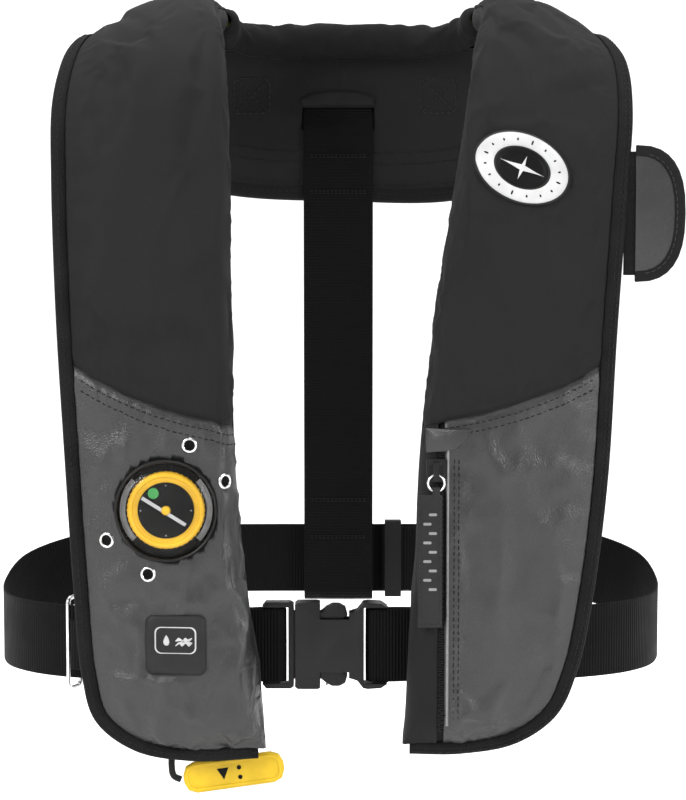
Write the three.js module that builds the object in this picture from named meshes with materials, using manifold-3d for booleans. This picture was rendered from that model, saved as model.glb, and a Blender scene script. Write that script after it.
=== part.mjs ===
// Inflatable life jacket, millimetres, +Z up, -Y is the wearer's front, +X the wearer's left.
// The origin is on the axis of the wearer's neck, level with the top of the collar.
import * as THREE from 'three';
import { mergeVertices } from 'three/addons/utils/BufferGeometryUtils.js';
import Module from 'manifold-3d';

const wasm = await Module();
wasm.setup();

// ---- driving dimensions ----
const CHEST_HALF = 190; // centre line to the outer edge of a chest lobe
const LOBE_DROP = 492; // shoulder crown to hem
const EDGE_Y = -95; // plane of the lobes' sewn edges
const BACK_Y = 102; // plane of the back panel
const GAP = 0.4; // clearance between sewn neighbours
const LOBE_PUFF = 17; // how far a packed lobe stands in front of its edge
const LINING_PUFF = 19; // how far its lining stands behind the edge
const COVER = 2.2; // thickness of the front cover cloth with its foam
const LINING = 1.5;
const BINDING = 8; // width of the edge tape
const WEB = 50; // webbing width
const WEB_T = 2;
const WINDOW_R = 34; // outside radius of the window rim
const INFLATOR = { x: -115, lift: 172 }; // place of the inflator, above the hem
const EYELET_R = 3.3;
const BELT_LIFT = 74; // belt centre above the hem, at the buckle
const BELT_RISE = 30; // how much higher the belt runs at the back
const BELT_OUT = 45; // how far the belt stands out past a lobe's edge
const BELT_HALF = CHEST_HALF + BELT_OUT;
const LANYARD_D = 4.5;
const ZIP_W = 5;
const LOWER_COVER = 227; // height of the leather-grain cover above the hem, at the inner fold

const HEM_Z = -LOBE_DROP;
const v3 = (x, y, z) => new THREE.Vector3(x, y, z);
const lerp = THREE.MathUtils.lerp;
const smooth = (x, a, b) => THREE.MathUtils.smoothstep(x, a, b);

// ---- geometry helpers ----
// Body from vertices and quads/triangles, turned so that its faces point out.
function body(points, faces) {
  const geometry = new THREE.BufferGeometry();
  geometry.setAttribute('position', new THREE.Float32BufferAttribute(points.flatMap((p) => p.toArray()), 3));
  const index = faces.flatMap((f) => (f.length === 3 ? f : [f[0], f[1], f[2], f[0], f[2], f[3]]));
  let volume = 0;
  for (let i = 0; i < index.length; i += 3) {
    const [a, b, c] = [points[index[i]], points[index[i + 1]], points[index[i + 2]]];
    volume += a.dot(b.clone().cross(c));
  }
  geometry.setIndex(volume > 0 ? index : index.reverse());
  return geometry;
}

// Closed shell between two surfaces given as functions of (i, j) on one grid.
function skin(front, back, ni, nj) {
  const points = [];
  for (const side of [front, back]) {
    for (let i = 0; i <= ni; i++) for (let j = 0; j <= nj; j++) points.push(side(i / ni, j / nj));
  }
  const row = nj + 1;
  const off = (ni + 1) * row;
  const faces = [];
  for (let i = 0; i < ni; i++) {
    for (let j = 0; j < nj; j++) {
      const a = i * row + j;
      faces.push([a, a + 1, a + row + 1, a + row]);
      faces.push([off + a, off + a + row, off + a + row + 1, off + a + 1]);
    }
  }
  const rim = [];
  for (let j = 0; j < nj; j++) rim.push(j);
  for (let i = 0; i < ni; i++) rim.push(i * row + nj);
  for (let j = nj; j > 0; j--) rim.push(ni * row + j);
  for (let i = ni; i > 0; i--) rim.push(i * row);
  rim.forEach((a, k) => {
    const b = rim[(k + 1) % rim.length];
    faces.push([a, off + a, off + b, b]);
  });
  return body(points, faces);
}

// Closed body through rings of points; the ends are capped unless the rings close on themselves.
function loft(rings, closed = false) {
  const n = rings[0].length;
  const points = rings.flat();
  const faces = [];
  const last = closed ? rings.length : rings.length - 1;
  for (let r = 0; r < last; r++) {
    const a = r * n;
    const b = ((r + 1) % rings.length) * n;
    for (let k = 0; k < n; k++) faces.push([a + k, a + ((k + 1) % n), b + ((k + 1) % n), b + k]);
  }
  if (!closed) {
    const end = (rings.length - 1) * n;
    for (let k = 1; k < n - 1; k++) {
      faces.push([0, k + 1, k]);
      faces.push([end, end + k, end + k + 1]);
    }
  }
  return body(points, faces);
}

// Flat tape along a path: `wide` is the direction of its width at every step.
function tape(path, wide, width, thick, closed = false) {
  const n = path.length;
  const rings = path.map((p, i) => {
    const before = path[closed ? (i + n - 1) % n : Math.max(i - 1, 0)];
    const after = path[closed ? (i + 1) % n : Math.min(i + 1, n - 1)];
    const along = after.clone().sub(before).normalize();
    const w = typeof wide === 'function' ? wide(i / (n - 1)) : wide.clone();
    w.addScaledVector(along, -w.dot(along)).normalize();
    const t = along.clone().cross(w).normalize();
    const corner = (a, b) => p.clone().addScaledVector(w, (a * width) / 2).addScaledVector(t, (b * thick) / 2);
    return [corner(-1, -1), corner(1, -1), corner(1, 1), corner(-1, 1)];
  });
  return loft(rings, closed);
}

const spline = (points) => new THREE.CatmullRomCurve3(points);
const along = (points, steps) => spline(points).getPoints(steps);

// Shared vertices merged, collapsed triangles left out.
function welded(geometry, tolerance) {
  const g = geometry.clone();
  g.deleteAttribute('normal');
  g.deleteAttribute('uv');
  const m = mergeVertices(g, tolerance);
  const index = [];
  const old = m.index.array;
  for (let i = 0; i < old.length; i += 3) {
    const [a, b, c] = [old[i], old[i + 1], old[i + 2]];
    if (a !== b && b !== c && c !== a) index.push(a, b, c);
  }
  m.setIndex(index);
  return m;
}

function toSolid(geometry) {
  const m = welded(geometry, 1e-4);
  return new wasm.Manifold(
    new wasm.Mesh({
      numProp: 3,
      vertProperties: new Float32Array(m.attributes.position.array),
      triVerts: new Uint32Array(m.index.array),
    }),
  );
}

function fromSolid(solid) {
  const mesh = solid.getMesh();
  const geometry = new THREE.BufferGeometry();
  geometry.setAttribute('position', new THREE.BufferAttribute(new Float32Array(mesh.vertProperties), 3));
  geometry.setIndex(new THREE.BufferAttribute(new Uint32Array(mesh.triVerts), 1));
  return geometry;
}

const cut = (geometry, ...tools) => fromSolid(tools.reduce((s, t) => s.subtract(toSolid(t)), toSolid(geometry)));
const join = (geometry, ...more) => fromSolid(more.reduce((s, t) => s.add(toSolid(t)), toSolid(geometry)));

// Box from its two corners.
function block(x0, x1, y0, y1, z0, z1) {
  const g = new THREE.BoxGeometry(x1 - x0, y1 - y0, z1 - z0);
  return g.translate((x0 + x1) / 2, (y0 + y1) / 2, (z0 + z1) / 2);
}

// Turned body: profile of [radius, height] points, its axis laid along `dir` from `at`.
function turned(profile, at, dir, segments = 24) {
  const g = new THREE.LatheGeometry(profile.map(([r, h]) => new THREE.Vector2(r, h)), segments);
  const m = welded(g, 1e-4);
  m.applyQuaternion(new THREE.Quaternion().setFromUnitVectors(v3(0, 1, 0), dir.clone().normalize()));
  return m.translate(at.x, at.y, at.z);
}

const drum = (r, h0, h1) => [[0, h0], [r, h0], [r, h1], [0, h1]];
const washer = (ri, ro, h0, h1) => [[ri, h0], [ro, h0], [ro, h1], [ri, h1], [ri, h0]];

// ---- the model ----
const group = new THREE.Group();

function add(name, geometry, color, roughness = 0.8, metalness = 0) {
  const merged = welded(geometry, 1e-3);
  merged.computeVertexNormals();
  const mesh = new THREE.Mesh(merged, new THREE.MeshStandardMaterial({ color, roughness, metalness }));
  mesh.name = name;
  group.add(mesh);
}

const NYLON = 0x383638;
const GRAIN = 0x46464a;
const TAPE = 0x2a2a2a;
const WEBBING = 0x161616;
const PLASTIC = 0x202124;
const YELLOW = 0xf5c228;
const STEEL = 0xc8cacc;

// ---- the lobes' outlines ----
// A station is an outer and an inner edge point: distance from the middle, height, depth.
const hem = (lift) => HEM_Z + lift;

function makeStrip(side, stations, hemWidth) {
  const outer = spline(stations.map(([[x, z, y]]) => v3(side * x, y, z)));
  const inner = spline(stations.map(([, [x, z, y]]) => v3(side * x, y, z)));
  const at = (curve, t) => curve.getPoint(THREE.MathUtils.clamp(t, 0, 1));
  // The cover's sewn edge, one tape width inside the outline.
  const sewn = (t) => {
    const p = at(outer, t);
    const tangent = at(outer, t + 0.01).sub(at(outer, t - 0.01)).normalize();
    const inward = at(inner, t).sub(p);
    inward.addScaledVector(tangent, -inward.dot(tangent)).normalize();
    return p.addScaledVector(inward, hemWidth);
  };
  const base = (t, u) => sewn(t).lerp(at(inner, t), u);
  const normal = (t, u) => {
    const du = at(inner, t).sub(at(outer, t));
    const dt = base(t + 0.012, u).sub(base(t - 0.012, u));
    return du.cross(dt).multiplyScalar(-side).normalize();
  };
  return { side, outer, inner, at, sewn, base, normal };
}

// Chest lobe seen in section: w runs from the sewn edge (0) to the rolled inner fold (1).
const FOLD_FROM = 0.6;
const FOLD_SHARE = 0.87;
const SLACK = 2.8; // room round the folded bladder

function lobeSection(strip, t, w, depth, front, off) {
  const f = Math.max(0, (w - FOLD_FROM) / (1 - FOLD_FROM)) * (Math.PI / 2);
  const a = w < FOLD_FROM ? (w / FOLD_FROM) * FOLD_SHARE : FOLD_SHARE + (1 - FOLD_SHARE) * Math.sin(f);
  const thin = lerp(0.2, 1, smooth(t, 0, 0.2));
  const shoulder = lerp(1, 0.62, smooth(t, 0.72, 1));
  const rise = 1 - (1 - Math.min(a, 1)) ** 3;
  const height = depth * rise * thin * shoulder * Math.cos(f);
  const lift = (front ? COVER + GAP : -LINING - GAP) * Math.cos(f);
  const n = strip.normal(t, a);
  const across = strip.at(strip.inner, t).sub(strip.sewn(t)).normalize();
  const out = n.clone().multiplyScalar(front ? 1 : -1);
  const push = out.clone().multiplyScalar(Math.cos(f)).addScaledVector(across, Math.sin(f));
  const seat = (front ? GAP : -GAP) * Math.sin(f);
  return strip
    .base(t, a)
    .addScaledVector(out, height)
    .addScaledVector(n, lift + seat)
    .addScaledVector(push, off);
}

const frontAt = (lobe, t, w, off) => lobeSection(lobe, t, w, LOBE_PUFF, true, off);
const backAt = (lobe, t, w, off) => lobeSection(lobe, t, w, LINING_PUFF, false, off);

// Point of a lobe's front face at a given x and z, and the way it faces.
function onLobe(lobe, x, z, off = 0) {
  let t = 0.45;
  let w = 0.5;
  for (let i = 0, span = 0.21; i < 10; i++, span /= 2) t += frontAt(lobe, t, w, 0).z < z ? span : -span;
  const step = 0.004;
  for (let i = 0; i < 14; i++) {
    const p = frontAt(lobe, t, w, 0);
    const pt = frontAt(lobe, t + step, w, 0).sub(p).divideScalar(step);
    const pw = frontAt(lobe, t, w + step, 0).sub(p).divideScalar(step);
    const det = pt.x * pw.z - pt.z * pw.x;
    t = THREE.MathUtils.clamp(t + ((x - p.x) * pw.z - (z - p.z) * pw.x) / det, 0.01, 0.87);
    w = THREE.MathUtils.clamp(w + (pt.x * (z - p.z) - pt.z * (x - p.x)) / det, 0.01, 0.99);
  }
  const p = frontAt(lobe, t, w, off);
  const a = frontAt(lobe, t + step, w, 0).sub(frontAt(lobe, t, w, 0));
  const b = frontAt(lobe, t, w + step, 0).sub(frontAt(lobe, t, w, 0));
  return { p, n: b.cross(a).multiplyScalar(-lobe.side).normalize(), t, w };
}

const leftStations = [
  [[CHEST_HALF - 136, hem(2), EDGE_Y], [50, hem(8), EDGE_Y]],
  [[CHEST_HALF - 90, hem(0), EDGE_Y], [51, hem(20), EDGE_Y]],
  [[CHEST_HALF - 52, hem(7), EDGE_Y], [52, hem(34), EDGE_Y]],
  [[CHEST_HALF - 26, hem(27), EDGE_Y], [54, hem(52), EDGE_Y]],
  [[CHEST_HALF - 17, hem(58), EDGE_Y], [57, hem(76), EDGE_Y]],
  [[CHEST_HALF - 12, hem(118), EDGE_Y], [63, hem(122), EDGE_Y]],
  [[CHEST_HALF - 7, hem(204), EDGE_Y], [70, hem(202), EDGE_Y]],
  [[CHEST_HALF - 2, -190, EDGE_Y], [72, -192, EDGE_Y]],
  [[CHEST_HALF, -102, EDGE_Y], [73, -112, EDGE_Y]],
  [[CHEST_HALF, -56, -84], [75, -46, -84]],
  [[CHEST_HALF - 5, -27, -58], [78, -12, -60]],
  [[CHEST_HALF - 13, -14, -20], [83, 8, -22]],
  [[CHEST_HALF - 18, -24, 26], [80, 9, 20]],
];
const rightStations = [
  [[CHEST_HALF - 145, hem(5), EDGE_Y], [41, hem(11), EDGE_Y]],
  [[CHEST_HALF - 110, hem(5), EDGE_Y], [42, hem(22), EDGE_Y]],
  [[CHEST_HALF - 73, hem(12), EDGE_Y], [43, hem(37), EDGE_Y]],
  [[CHEST_HALF - 46, hem(31), EDGE_Y], [44, hem(56), EDGE_Y]],
  [[CHEST_HALF - 32, hem(62), EDGE_Y], [46, hem(88), EDGE_Y]],
  [[CHEST_HALF - 22, hem(112), EDGE_Y], [49, hem(132), EDGE_Y]],
  [[CHEST_HALF - 13, hem(190), EDGE_Y], [52, hem(206), EDGE_Y]],
  [[CHEST_HALF - 8, -208, EDGE_Y], [60, -210, EDGE_Y]],
  [[CHEST_HALF - 2, -112, EDGE_Y], [73, -118, EDGE_Y]],
  [[CHEST_HALF + 2, -60, -84], [83, -56, -82]],
  [[CHEST_HALF, -29, -58], [90, -15, -58]],
  [[CHEST_HALF - 11, -14, -20], [96, 9, -22]],
  [[CHEST_HALF - 17, -24, 26], [92, 10, 20]],
];
const left = makeStrip(-1, leftStations, BINDING);
const right = makeStrip(1, rightStations, BINDING);

// Height of the seam between the nylon and the leather-grain cover, across the lobe.
const SEAM_DROP = LOBE_DROP - LOWER_COVER;
const seamHeight = (w) => -SEAM_DROP + 40 * (1 - w) ** 2.4;

// Parameter t where the front of a lobe reaches the seam, for each w.
function seamT(lobe, w) {
  let lo = 0.2;
  let hi = 0.75;
  for (let i = 0; i < 24; i++) {
    const mid = (lo + hi) / 2;
    if (frontAt(lobe, mid, w, 0).z < seamHeight(w)) lo = mid;
    else hi = mid;
  }
  return lo;
}

const SEAM_GAP_T = 0.0008;
const between = (lobe, from, to, w0, w1, place, off) => (i, j) => {
  const w = lerp(w0, w1, j);
  return place(lobe, lerp(from(w), to(w), i), w, off);
};

function coverUpper(lobe, name) {
  const span = [lobe, (w) => seamT(lobe, w) + SEAM_GAP_T, () => 0.998, 0, 1, frontAt];
  add(`cover_upper_${name}`, skin(between(...span, 0), between(...span, -COVER), 12, 10), NYLON);
}

// Lower cover between two lines that run along the lobe, each giving w for a height share.
const LOWER_FROM_T = 0.03;
function coverLower(lobe, name, fromW, toW, steps, tools, color) {
  const side = (off) => (i, j) => {
    const w = lerp(fromW(i), toW(i), j);
    return frontAt(lobe, lerp(LOWER_FROM_T, seamT(lobe, w) - SEAM_GAP_T, i), w, off);
  };
  const shell = skin(side(0), side(-COVER), 14, steps);
  add(name, tools.length ? cut(shell, ...tools) : shell, color, 0.5);
}

function lining(lobe, name, tools) {
  const all = [lobe, () => 0.004, () => 0.998, 0, 1, backAt];
  const shell = skin(between(...all, 0), between(...all, -LINING), 18, 8);
  add(`lining_${name}`, tools.length ? cut(shell, ...tools) : shell, NYLON);
}

// Folded bladder between cover and lining, with its hollows cut out.
function bladder(lobe, name, tools) {
  const span = [lobe, () => 0.17, () => 0.985, 0.14, 0.95];
  const front = between(...span, frontAt, -COVER - SLACK);
  const back = between(...span, backAt, -LINING - SLACK);
  add(`bladder_${name}`, cut(skin(front, back, 14, 6), ...tools), 0xb8b04a, 0.6);
}

// Edge tape folded over cover and lining along the outer edge.
function binding(lobe, name) {
  const rings = [];
  const steps = 26;
  for (let i = 0; i <= steps; i++) {
    const t = lerp(0.002, 0.998, i / steps);
    const rim = lobe.at(lobe.outer, t);
    const seat = lobe.sewn(t);
    const out = rim.clone().sub(seat).normalize();
    const n = lobe.normal(t, 0);
    const at = (a, b) => seat.clone().addScaledVector(out, a).addScaledVector(n, b);
    const [foot, edge] = [4 * GAP, BINDING];
    const profile = [[foot, -3], [edge - 2, -3], [edge, -1], [edge, 2], [edge - 2, 4], [foot, 4]];
    rings.push(profile.map(([a, b]) => at(a, b)));
  }
  add(`binding_${name}`, loft(rings), TAPE);
}

// ---- inflator in the left lobe ----
const infl = onLobe(left, INFLATOR.x, HEM_Z + INFLATOR.lift);
const FRONT = v3(0, -1, 0); // the inflator looks straight ahead
const SEAT_Y = infl.p.y + COVER + 3; // plane of the bladder's clamping face
const inflAt = (y) => v3(infl.p.x, y, infl.p.z);
const BODY_R = 20;
const CLAMP_R = 28;
const CAP_R = 25.5;
const CYLINDER_R = 11.5;
const CYLINDER_L = 104;
const BODY_DEPTH = 17;
const cylinderY = SEAT_Y + 3 + CYLINDER_R;

const windowHole = turned(drum(WINDOW_R + GAP, -30, 30), infl.p, FRONT, 32);
const EYELETS = [[70, 11.9], [26, 9.4], [208, 11.2], [254, 10.6]]; // angle, and distance outside the window
const eyeletSeats = EYELETS.map(([angle, out]) => {
  const f = THREE.MathUtils.degToRad(angle);
  const [dx, dz] = [(WINDOW_R + out) * Math.cos(f), (WINDOW_R + out) * Math.sin(f)];
  return onLobe(left, infl.p.x + dx, infl.p.z + dz);
});
const eyeletHoles = eyeletSeats.map(({ p, n }) => turned(drum(EYELET_R + 1.4, -8, 8), p, n, 12));

const LEVER_Z = infl.p.z - BODY_R - 5;
const LEVER_ARM = 16;
const cordX = infl.p.x + 2;
const pivotX = cordX + LEVER_ARM;
const CORD_Y = EDGE_Y + 7;
const bladderHollows = [
  turned(drum(CLAMP_R + 1.5, -12, 60), v3(infl.p.x, SEAT_Y + BODY_DEPTH - 9, infl.p.z), FRONT, 28),
  turned(drum(CYLINDER_R + 1, 0, CYLINDER_L + 16), v3(infl.p.x, cylinderY, infl.p.z), v3(0, 0, 1), 20),
  block(cordX - 10, pivotX + 12, SEAT_Y, cylinderY + 4, LEVER_Z - 34, infl.p.z),
  block(cordX - 6, cordX + 6, cylinderY - 12, CORD_Y + 40, HEM_Z - 10, LEVER_Z),
];
const cordSlot = block(cordX - 5, cordX + 5, EDGE_Y - 1, CORD_Y + 30, HEM_Z + 5, HEM_Z + 84);

coverUpper(left, 'left');
coverLower(left, 'cover_lower_left', () => 0, () => 1, 10, [windowHole, ...eyeletHoles], GRAIN);
lining(left, 'left', [cordSlot]);
bladder(left, 'left', bladderHollows);
binding(left, 'left');

function inflator() {
  const at = inflAt(SEAT_Y);
  // The body: a drum with a square shoulder and a threaded socket for the gas cylinder.
  const drumPart = turned(drum(BODY_R, -BODY_DEPTH, 0), at, FRONT, 24);
  const socket = turned(drum(CYLINDER_R - 1, 6, BODY_R + 9), v3(at.x, cylinderY, at.z), v3(0, 0, 1), 20);
  const bore = turned(drum(5.3, 14, BODY_R + 10), v3(at.x, cylinderY, at.z), v3(0, 0, 1), 16);
  const lug = block(pivotX - 5, pivotX + 5, cylinderY - 4, cylinderY + 1, LEVER_Z - 4, at.z - 6);
  const pinHole = turned(drum(1.9, -9, 9), v3(pivotX, cylinderY - 2, LEVER_Z), FRONT, 12);
  add('inflator_body', cut(join(drumPart, socket, lug), bore, pinHole), 0x24262a, 0.5);

  const neck = [[0, 15], [5, 15], [5, 30], [CYLINDER_R, 40], [CYLINDER_R, CYLINDER_L - 6]];
  const bottle = [...neck, [CYLINDER_R - 3, CYLINDER_L - 1], [0, CYLINDER_L]];
  add('gas_cylinder', turned(bottle, v3(at.x, cylinderY, at.z), v3(0, 0, 1), 16), 0x8f9296, 0.3, 0.9);

  add('clamp_ring', turned(washer(BODY_R + 0.4, CLAMP_R, -2.6, -0.3), at, FRONT, 24), 0x303236, 0.5);
  const rim = [[0, 0.3], [CAP_R, 0.3], [CAP_R, 6], [CAP_R - 2, 7.2], [CAP_R - 3.6, 7.2]];
  add('inflator_cap', turned([...rim, [CAP_R - 3.6, 5.6], [0, 5.6]], at, FRONT, 24), YELLOW, 0.4);
  add('dial_face', turned(washer(3.3, CAP_R - 4, 5.9, 6.7), at, FRONT, 24), 0x18181a, 0.4);
  const button = [[0, 5.9], [2.9, 5.9], [2.9, 7.4], [1.8, 8], [0, 8]];
  add('indicator_button', turned(button, at, FRONT, 20), 0x3f9d55, 0.4);

  // Clear dome on its rim, standing in the hole of the cover.
  const base = 4.6;
  const height = 11;
  const wall = 1.5;
  const arc = (r, h, from, to) =>
    Array.from({ length: 5 }, (_, i) => {
      const a = lerp(from, to, i / 4) * (Math.PI / 2);
      return [r * Math.cos(a), base + h * Math.sin(a)];
    });
  const domeR = WINDOW_R - 2.4;
  const dome = [...arc(domeR, height, 0, 1), ...arc(domeR - wall, height - wall, 1, 0)];
  const flange = [[CLAMP_R + 1, base], [CLAMP_R + 1, base - 1.4], [domeR, base - 1.4]];
  add('window_dome', turned([...dome, ...flange, dome[0]], at, FRONT, 24), 0xe8ecef, 0.1);
  const bead = [[domeR + 0.3, base - 1.4], [WINDOW_R, base - 1.4], [WINDOW_R, base + 4.6]];
  const beadIn = [[WINDOW_R - 1, base + 5.4], [domeR + 0.3, base + 4.4], [domeR + 0.3, base - 1.4]];
  add('window_rim', turned([...bead, ...beadIn], at, FRONT, 24), 0x141414, 0.4);

  // Firing lever on its pin; the lanyard pulls its end down.
  const pin = turned(drum(1.5, -5, 4), v3(pivotX, cylinderY - 2, LEVER_Z), FRONT, 12);
  const leverY = cylinderY - 4.4;
  const eye = turned(drum(4.2, 0, 2.4), v3(pivotX, leverY, LEVER_Z), FRONT, 16);
  const arm = block(cordX - 3, pivotX, leverY - 2.4, leverY, LEVER_Z - 2.5, LEVER_Z + 2.5);
  add('firing_lever', join(pin, eye, arm), 0x2b2d31, 0.5);

  eyeletSeats.forEach(({ p, n }, i) => {
    const flangeR = EYELET_R + 2;
    const barrel = [[EYELET_R, -3.4], [EYELET_R + 0.8, -3.4], [EYELET_R + 0.8, 0.5], [flangeR, 0.5]];
    const lip = [[flangeR, 1.1], [flangeR - 0.7, 1.5], [EYELET_R + 0.6, 1.5], [EYELET_R, 0.9], [EYELET_R, -3.4]];
    add(`eyelet_${i + 1}`, turned([...barrel, ...lip], p, n, 12), STEEL, 0.25, 1);
  });
}
inflator();

// Thin piece that lies on a lobe's front: outline of [x, z] points about its centre.
function conformal(lobe, centre, outline, low, high) {
  const ringAt = (share, off) =>
    outline.map(([x, z]) => onLobe(lobe, centre[0] + share * x, centre[1] + share * z, off).p);
  const n = outline.length;
  const points = [];
  for (const off of [high, low]) {
    points.push(onLobe(lobe, ...centre, off).p, ...ringAt(0.5, off), ...ringAt(1, off));
  }
  const layer = 1 + 2 * n;
  const faces = [];
  for (let k = 0; k < n; k++) {
    const m = (k + 1) % n;
    faces.push([0, 1 + k, 1 + m], [1 + k, 1 + n + k, 1 + n + m, 1 + m]);
    faces.push([layer, layer + 1 + m, layer + 1 + k]);
    faces.push([layer + 1 + k, layer + 1 + m, layer + 1 + n + m, layer + 1 + n + k]);
    faces.push([1 + n + k, layer + 1 + n + k, layer + 1 + n + m, 1 + n + m]);
  }
  return body(points, faces);
}

function ellipse(a, b, tilt, n = 24) {
  return Array.from({ length: n }, (_, k) => {
    const f = (k / n) * 2 * Math.PI;
    const [x, z] = [a * Math.cos(f), b * Math.sin(f)];
    return [x * Math.cos(tilt) - z * Math.sin(tilt), x * Math.sin(tilt) + z * Math.cos(tilt)];
  });
}

// Rounded rectangle as [x, z] points, three to a corner.
function roundedBox(width, height, radius) {
  const corners = [[1, 1], [-1, 1], [-1, -1], [1, -1]];
  return corners.flatMap(([sx, sz], k) =>
    [0, 45, 90].map((deg) => {
      const f = THREE.MathUtils.degToRad(deg + 90 * k);
      const [cx, cz] = [sx * (width / 2 - radius), sz * (height / 2 - radius)];
      return [cx + radius * Math.cos(f), cz + radius * Math.sin(f)];
    }),
  );
}

const PATCH = 40;
const BADGE = { x: 118, z: -96, a: 32.5, b: 22.5, tilt: -0.4 };
add('chest_patch', conformal(left, [-109, HEM_Z + 82], roundedBox(PATCH, PATCH, 5), 0.6, 2), 0x1c1c1d, 0.5);
const oval = ellipse(BADGE.a, BADGE.b, BADGE.tilt);
add('oval_badge', conformal(right, [BADGE.x, BADGE.z], oval, 0.8, 2.6), 0xd9d9d6, 0.6);

// ---- right lobe with the zip pocket ----
const ZIP_X = 66;
const ZIP_TOP = -SEAM_DROP - 4;
const SLIDER_Z = -SEAM_DROP - 28;
const SLIDER_L = 15;
const ZIP_END = HEM_Z + 22;
const ZIP_LOW = HEM_Z + 50; // lowest place of the slider
const ZIP_TRAVEL = SLIDER_Z - SLIDER_L / 2 - ZIP_LOW;
const PULL_L = 88;
const PULL_W = 16;

// w of the zip line less `shift`, at a share i of the way from hem to seam.
function zipW(i, shift) {
  let lo = 0.05;
  let hi = 0.97;
  for (let k = 0; k < 22; k++) {
    const mid = (lo + hi) / 2;
    const t = lerp(LOWER_FROM_T, seamT(right, mid) - SEAM_GAP_T, i);
    if (frontAt(right, t, mid, 0).x > ZIP_X + shift) lo = mid;
    else hi = mid;
  }
  return lo;
}
const zipSide = ZIP_W / 2 + GAP;
const leatherEdge = (i) => zipW(i, zipSide);
const stripEdge = (i) => Math.max(zipW(i, -zipSide), leatherEdge(i) + 0.05);

const TUBE_Z = -SEAM_DROP + 43; // foot of the oral tube
const tubeSeat = onLobe(right, 112, TUBE_Z + 44);
const TUBE_R = 6.5;
const tubeY = tubeSeat.p.y + COVER + SLACK + TUBE_R + 2.5;
const tubeAt = (z) => v3(tubeSeat.p.x, tubeY, z);
const UP = v3(0, 0, 1);
const tubeHollows = [
  turned(drum(TUBE_R + 3.5, -4, 86), tubeAt(TUBE_Z - 4), UP, 20),
  block(tubeSeat.p.x - TUBE_R - 3, tubeSeat.p.x + TUBE_R + 3, tubeY - 40, tubeY, TUBE_Z - 6, TUBE_Z + 80),
];

coverUpper(right, 'right');
coverLower(right, 'cover_lower_right', () => 0, leatherEdge, 8, [], GRAIN);
coverLower(right, 'pocket_strip', stripEdge, () => 1, 6, [], NYLON);
lining(right, 'right', []);
bladder(right, 'right', tubeHollows);
binding(right, 'right');

const ZIP_STEPS = 16;
const zipSeats = Array.from({ length: ZIP_STEPS + 1 }, (_, k) =>
  onLobe(right, ZIP_X, lerp(ZIP_END, ZIP_TOP, k / ZIP_STEPS)).p,
);
// The teeth run straight wherever the slider goes, and sink to the cloth below that.
const faceY = Math.min(...zipSeats.map((p) => p.y)) - 0.8;

function zipPocket() {
  const coil = zipSeats.map((p) => {
    const [back, front] = [p.y + 1.4, p.z > ZIP_LOW - 12 ? faceY : p.y - 0.8];
    return [[-1, back], [1, back], [1, front + 0.6], [0.6, front], [-0.6, front], [-1, front + 0.6]].map(
      ([a, y]) => v3(ZIP_X + (a * ZIP_W) / 2, y, p.z),
    );
  });
  add('zip_coil', loft(coil), 0x6d6f72, 0.5);

  // Slider on the coil with a bail; the puller ring and its long tab hang from the bail.
  const sx = ZIP_X - 3.5;
  const fy = faceY - GAP;
  const top = SLIDER_Z + SLIDER_L / 2;
  const foot = SLIDER_Z - SLIDER_L / 2;
  const plate = block(sx - 6.5, sx + 6.5, fy - 2.4, fy, foot, top);
  const bail = block(sx - 2, sx + 2, fy - 5.6, fy - 2, foot + 1.6, top - 2);
  const eye = block(sx - 4, sx + 4, fy - 4.8, fy - 2, foot + 2.6, top - 4);
  add('zip_slider', cut(join(plate, bail), eye), 0x1d1e20, 0.4);

  const ringR = 5.4;
  const wire = 0.8;
  const ringY = fy - 3.4;
  const ringZ = foot + 4.6 - ringR;
  const ring = new THREE.TorusGeometry(ringR, wire, 6, 16);
  ring.rotateX(Math.PI / 2).translate(sx, ringY, ringZ);
  add('puller_ring', ring, STEEL, 0.25, 1);
  const tabTop = ringZ - ringR - wire - 1.3;
  const tabX = sx - 4;
  const tab = block(tabX - PULL_W / 2, tabX + PULL_W / 2, ringY - 2, ringY + 2, tabTop - PULL_L, tabTop);
  const loop = block(sx - 2.5, sx + 2.5, ringY - 2, ringY + 2, tabTop - 1, tabTop + 5);
  const eyelet = block(sx - 4, sx + 4, ringY - 1.2, ringY + 1.2, tabTop + 0.8, tabTop + 4);
  add('puller_tab', cut(join(tab, loop), eyelet), 0x202022, 0.6);
}
zipPocket();

// Oral inflation tube inside the right lobe, with its push valve.
function oralTube() {
  const at = tubeAt(TUBE_Z);
  const outside = [[TUBE_R + 2.6, 0], [TUBE_R + 2.6, 2], [TUBE_R, 4], [TUBE_R, 60]];
  const bore = [[TUBE_R - 2, 60], [TUBE_R - 2, 0], [TUBE_R + 2.6, 0]];
  add('oral_tube', turned([...outside, ...bore], at, UP, 24), 0x7c1f22, 0.6);
  const stem = [[0, 44], [TUBE_R - 2.6, 44], [TUBE_R - 2.6, 63], [TUBE_R - 3.4, 65], [0, 65]];
  add('oral_valve', turned(stem, at, UP, 20), 0xd8d8d4, 0.5);
}
oralTube();

// ---- collar and back panel ----
const ROLL = { y: 9.5, z: 11 };
const rollPath = [
  [-80, 33, 2], [-78, 58, -6], [-52, 82, -12], [0, BACK_Y - 13, -12],
  [54, 82, -12], [88, 56, -5], [93, 33, 3],
].map(([x, y, z]) => v3(x, y, z));

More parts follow.
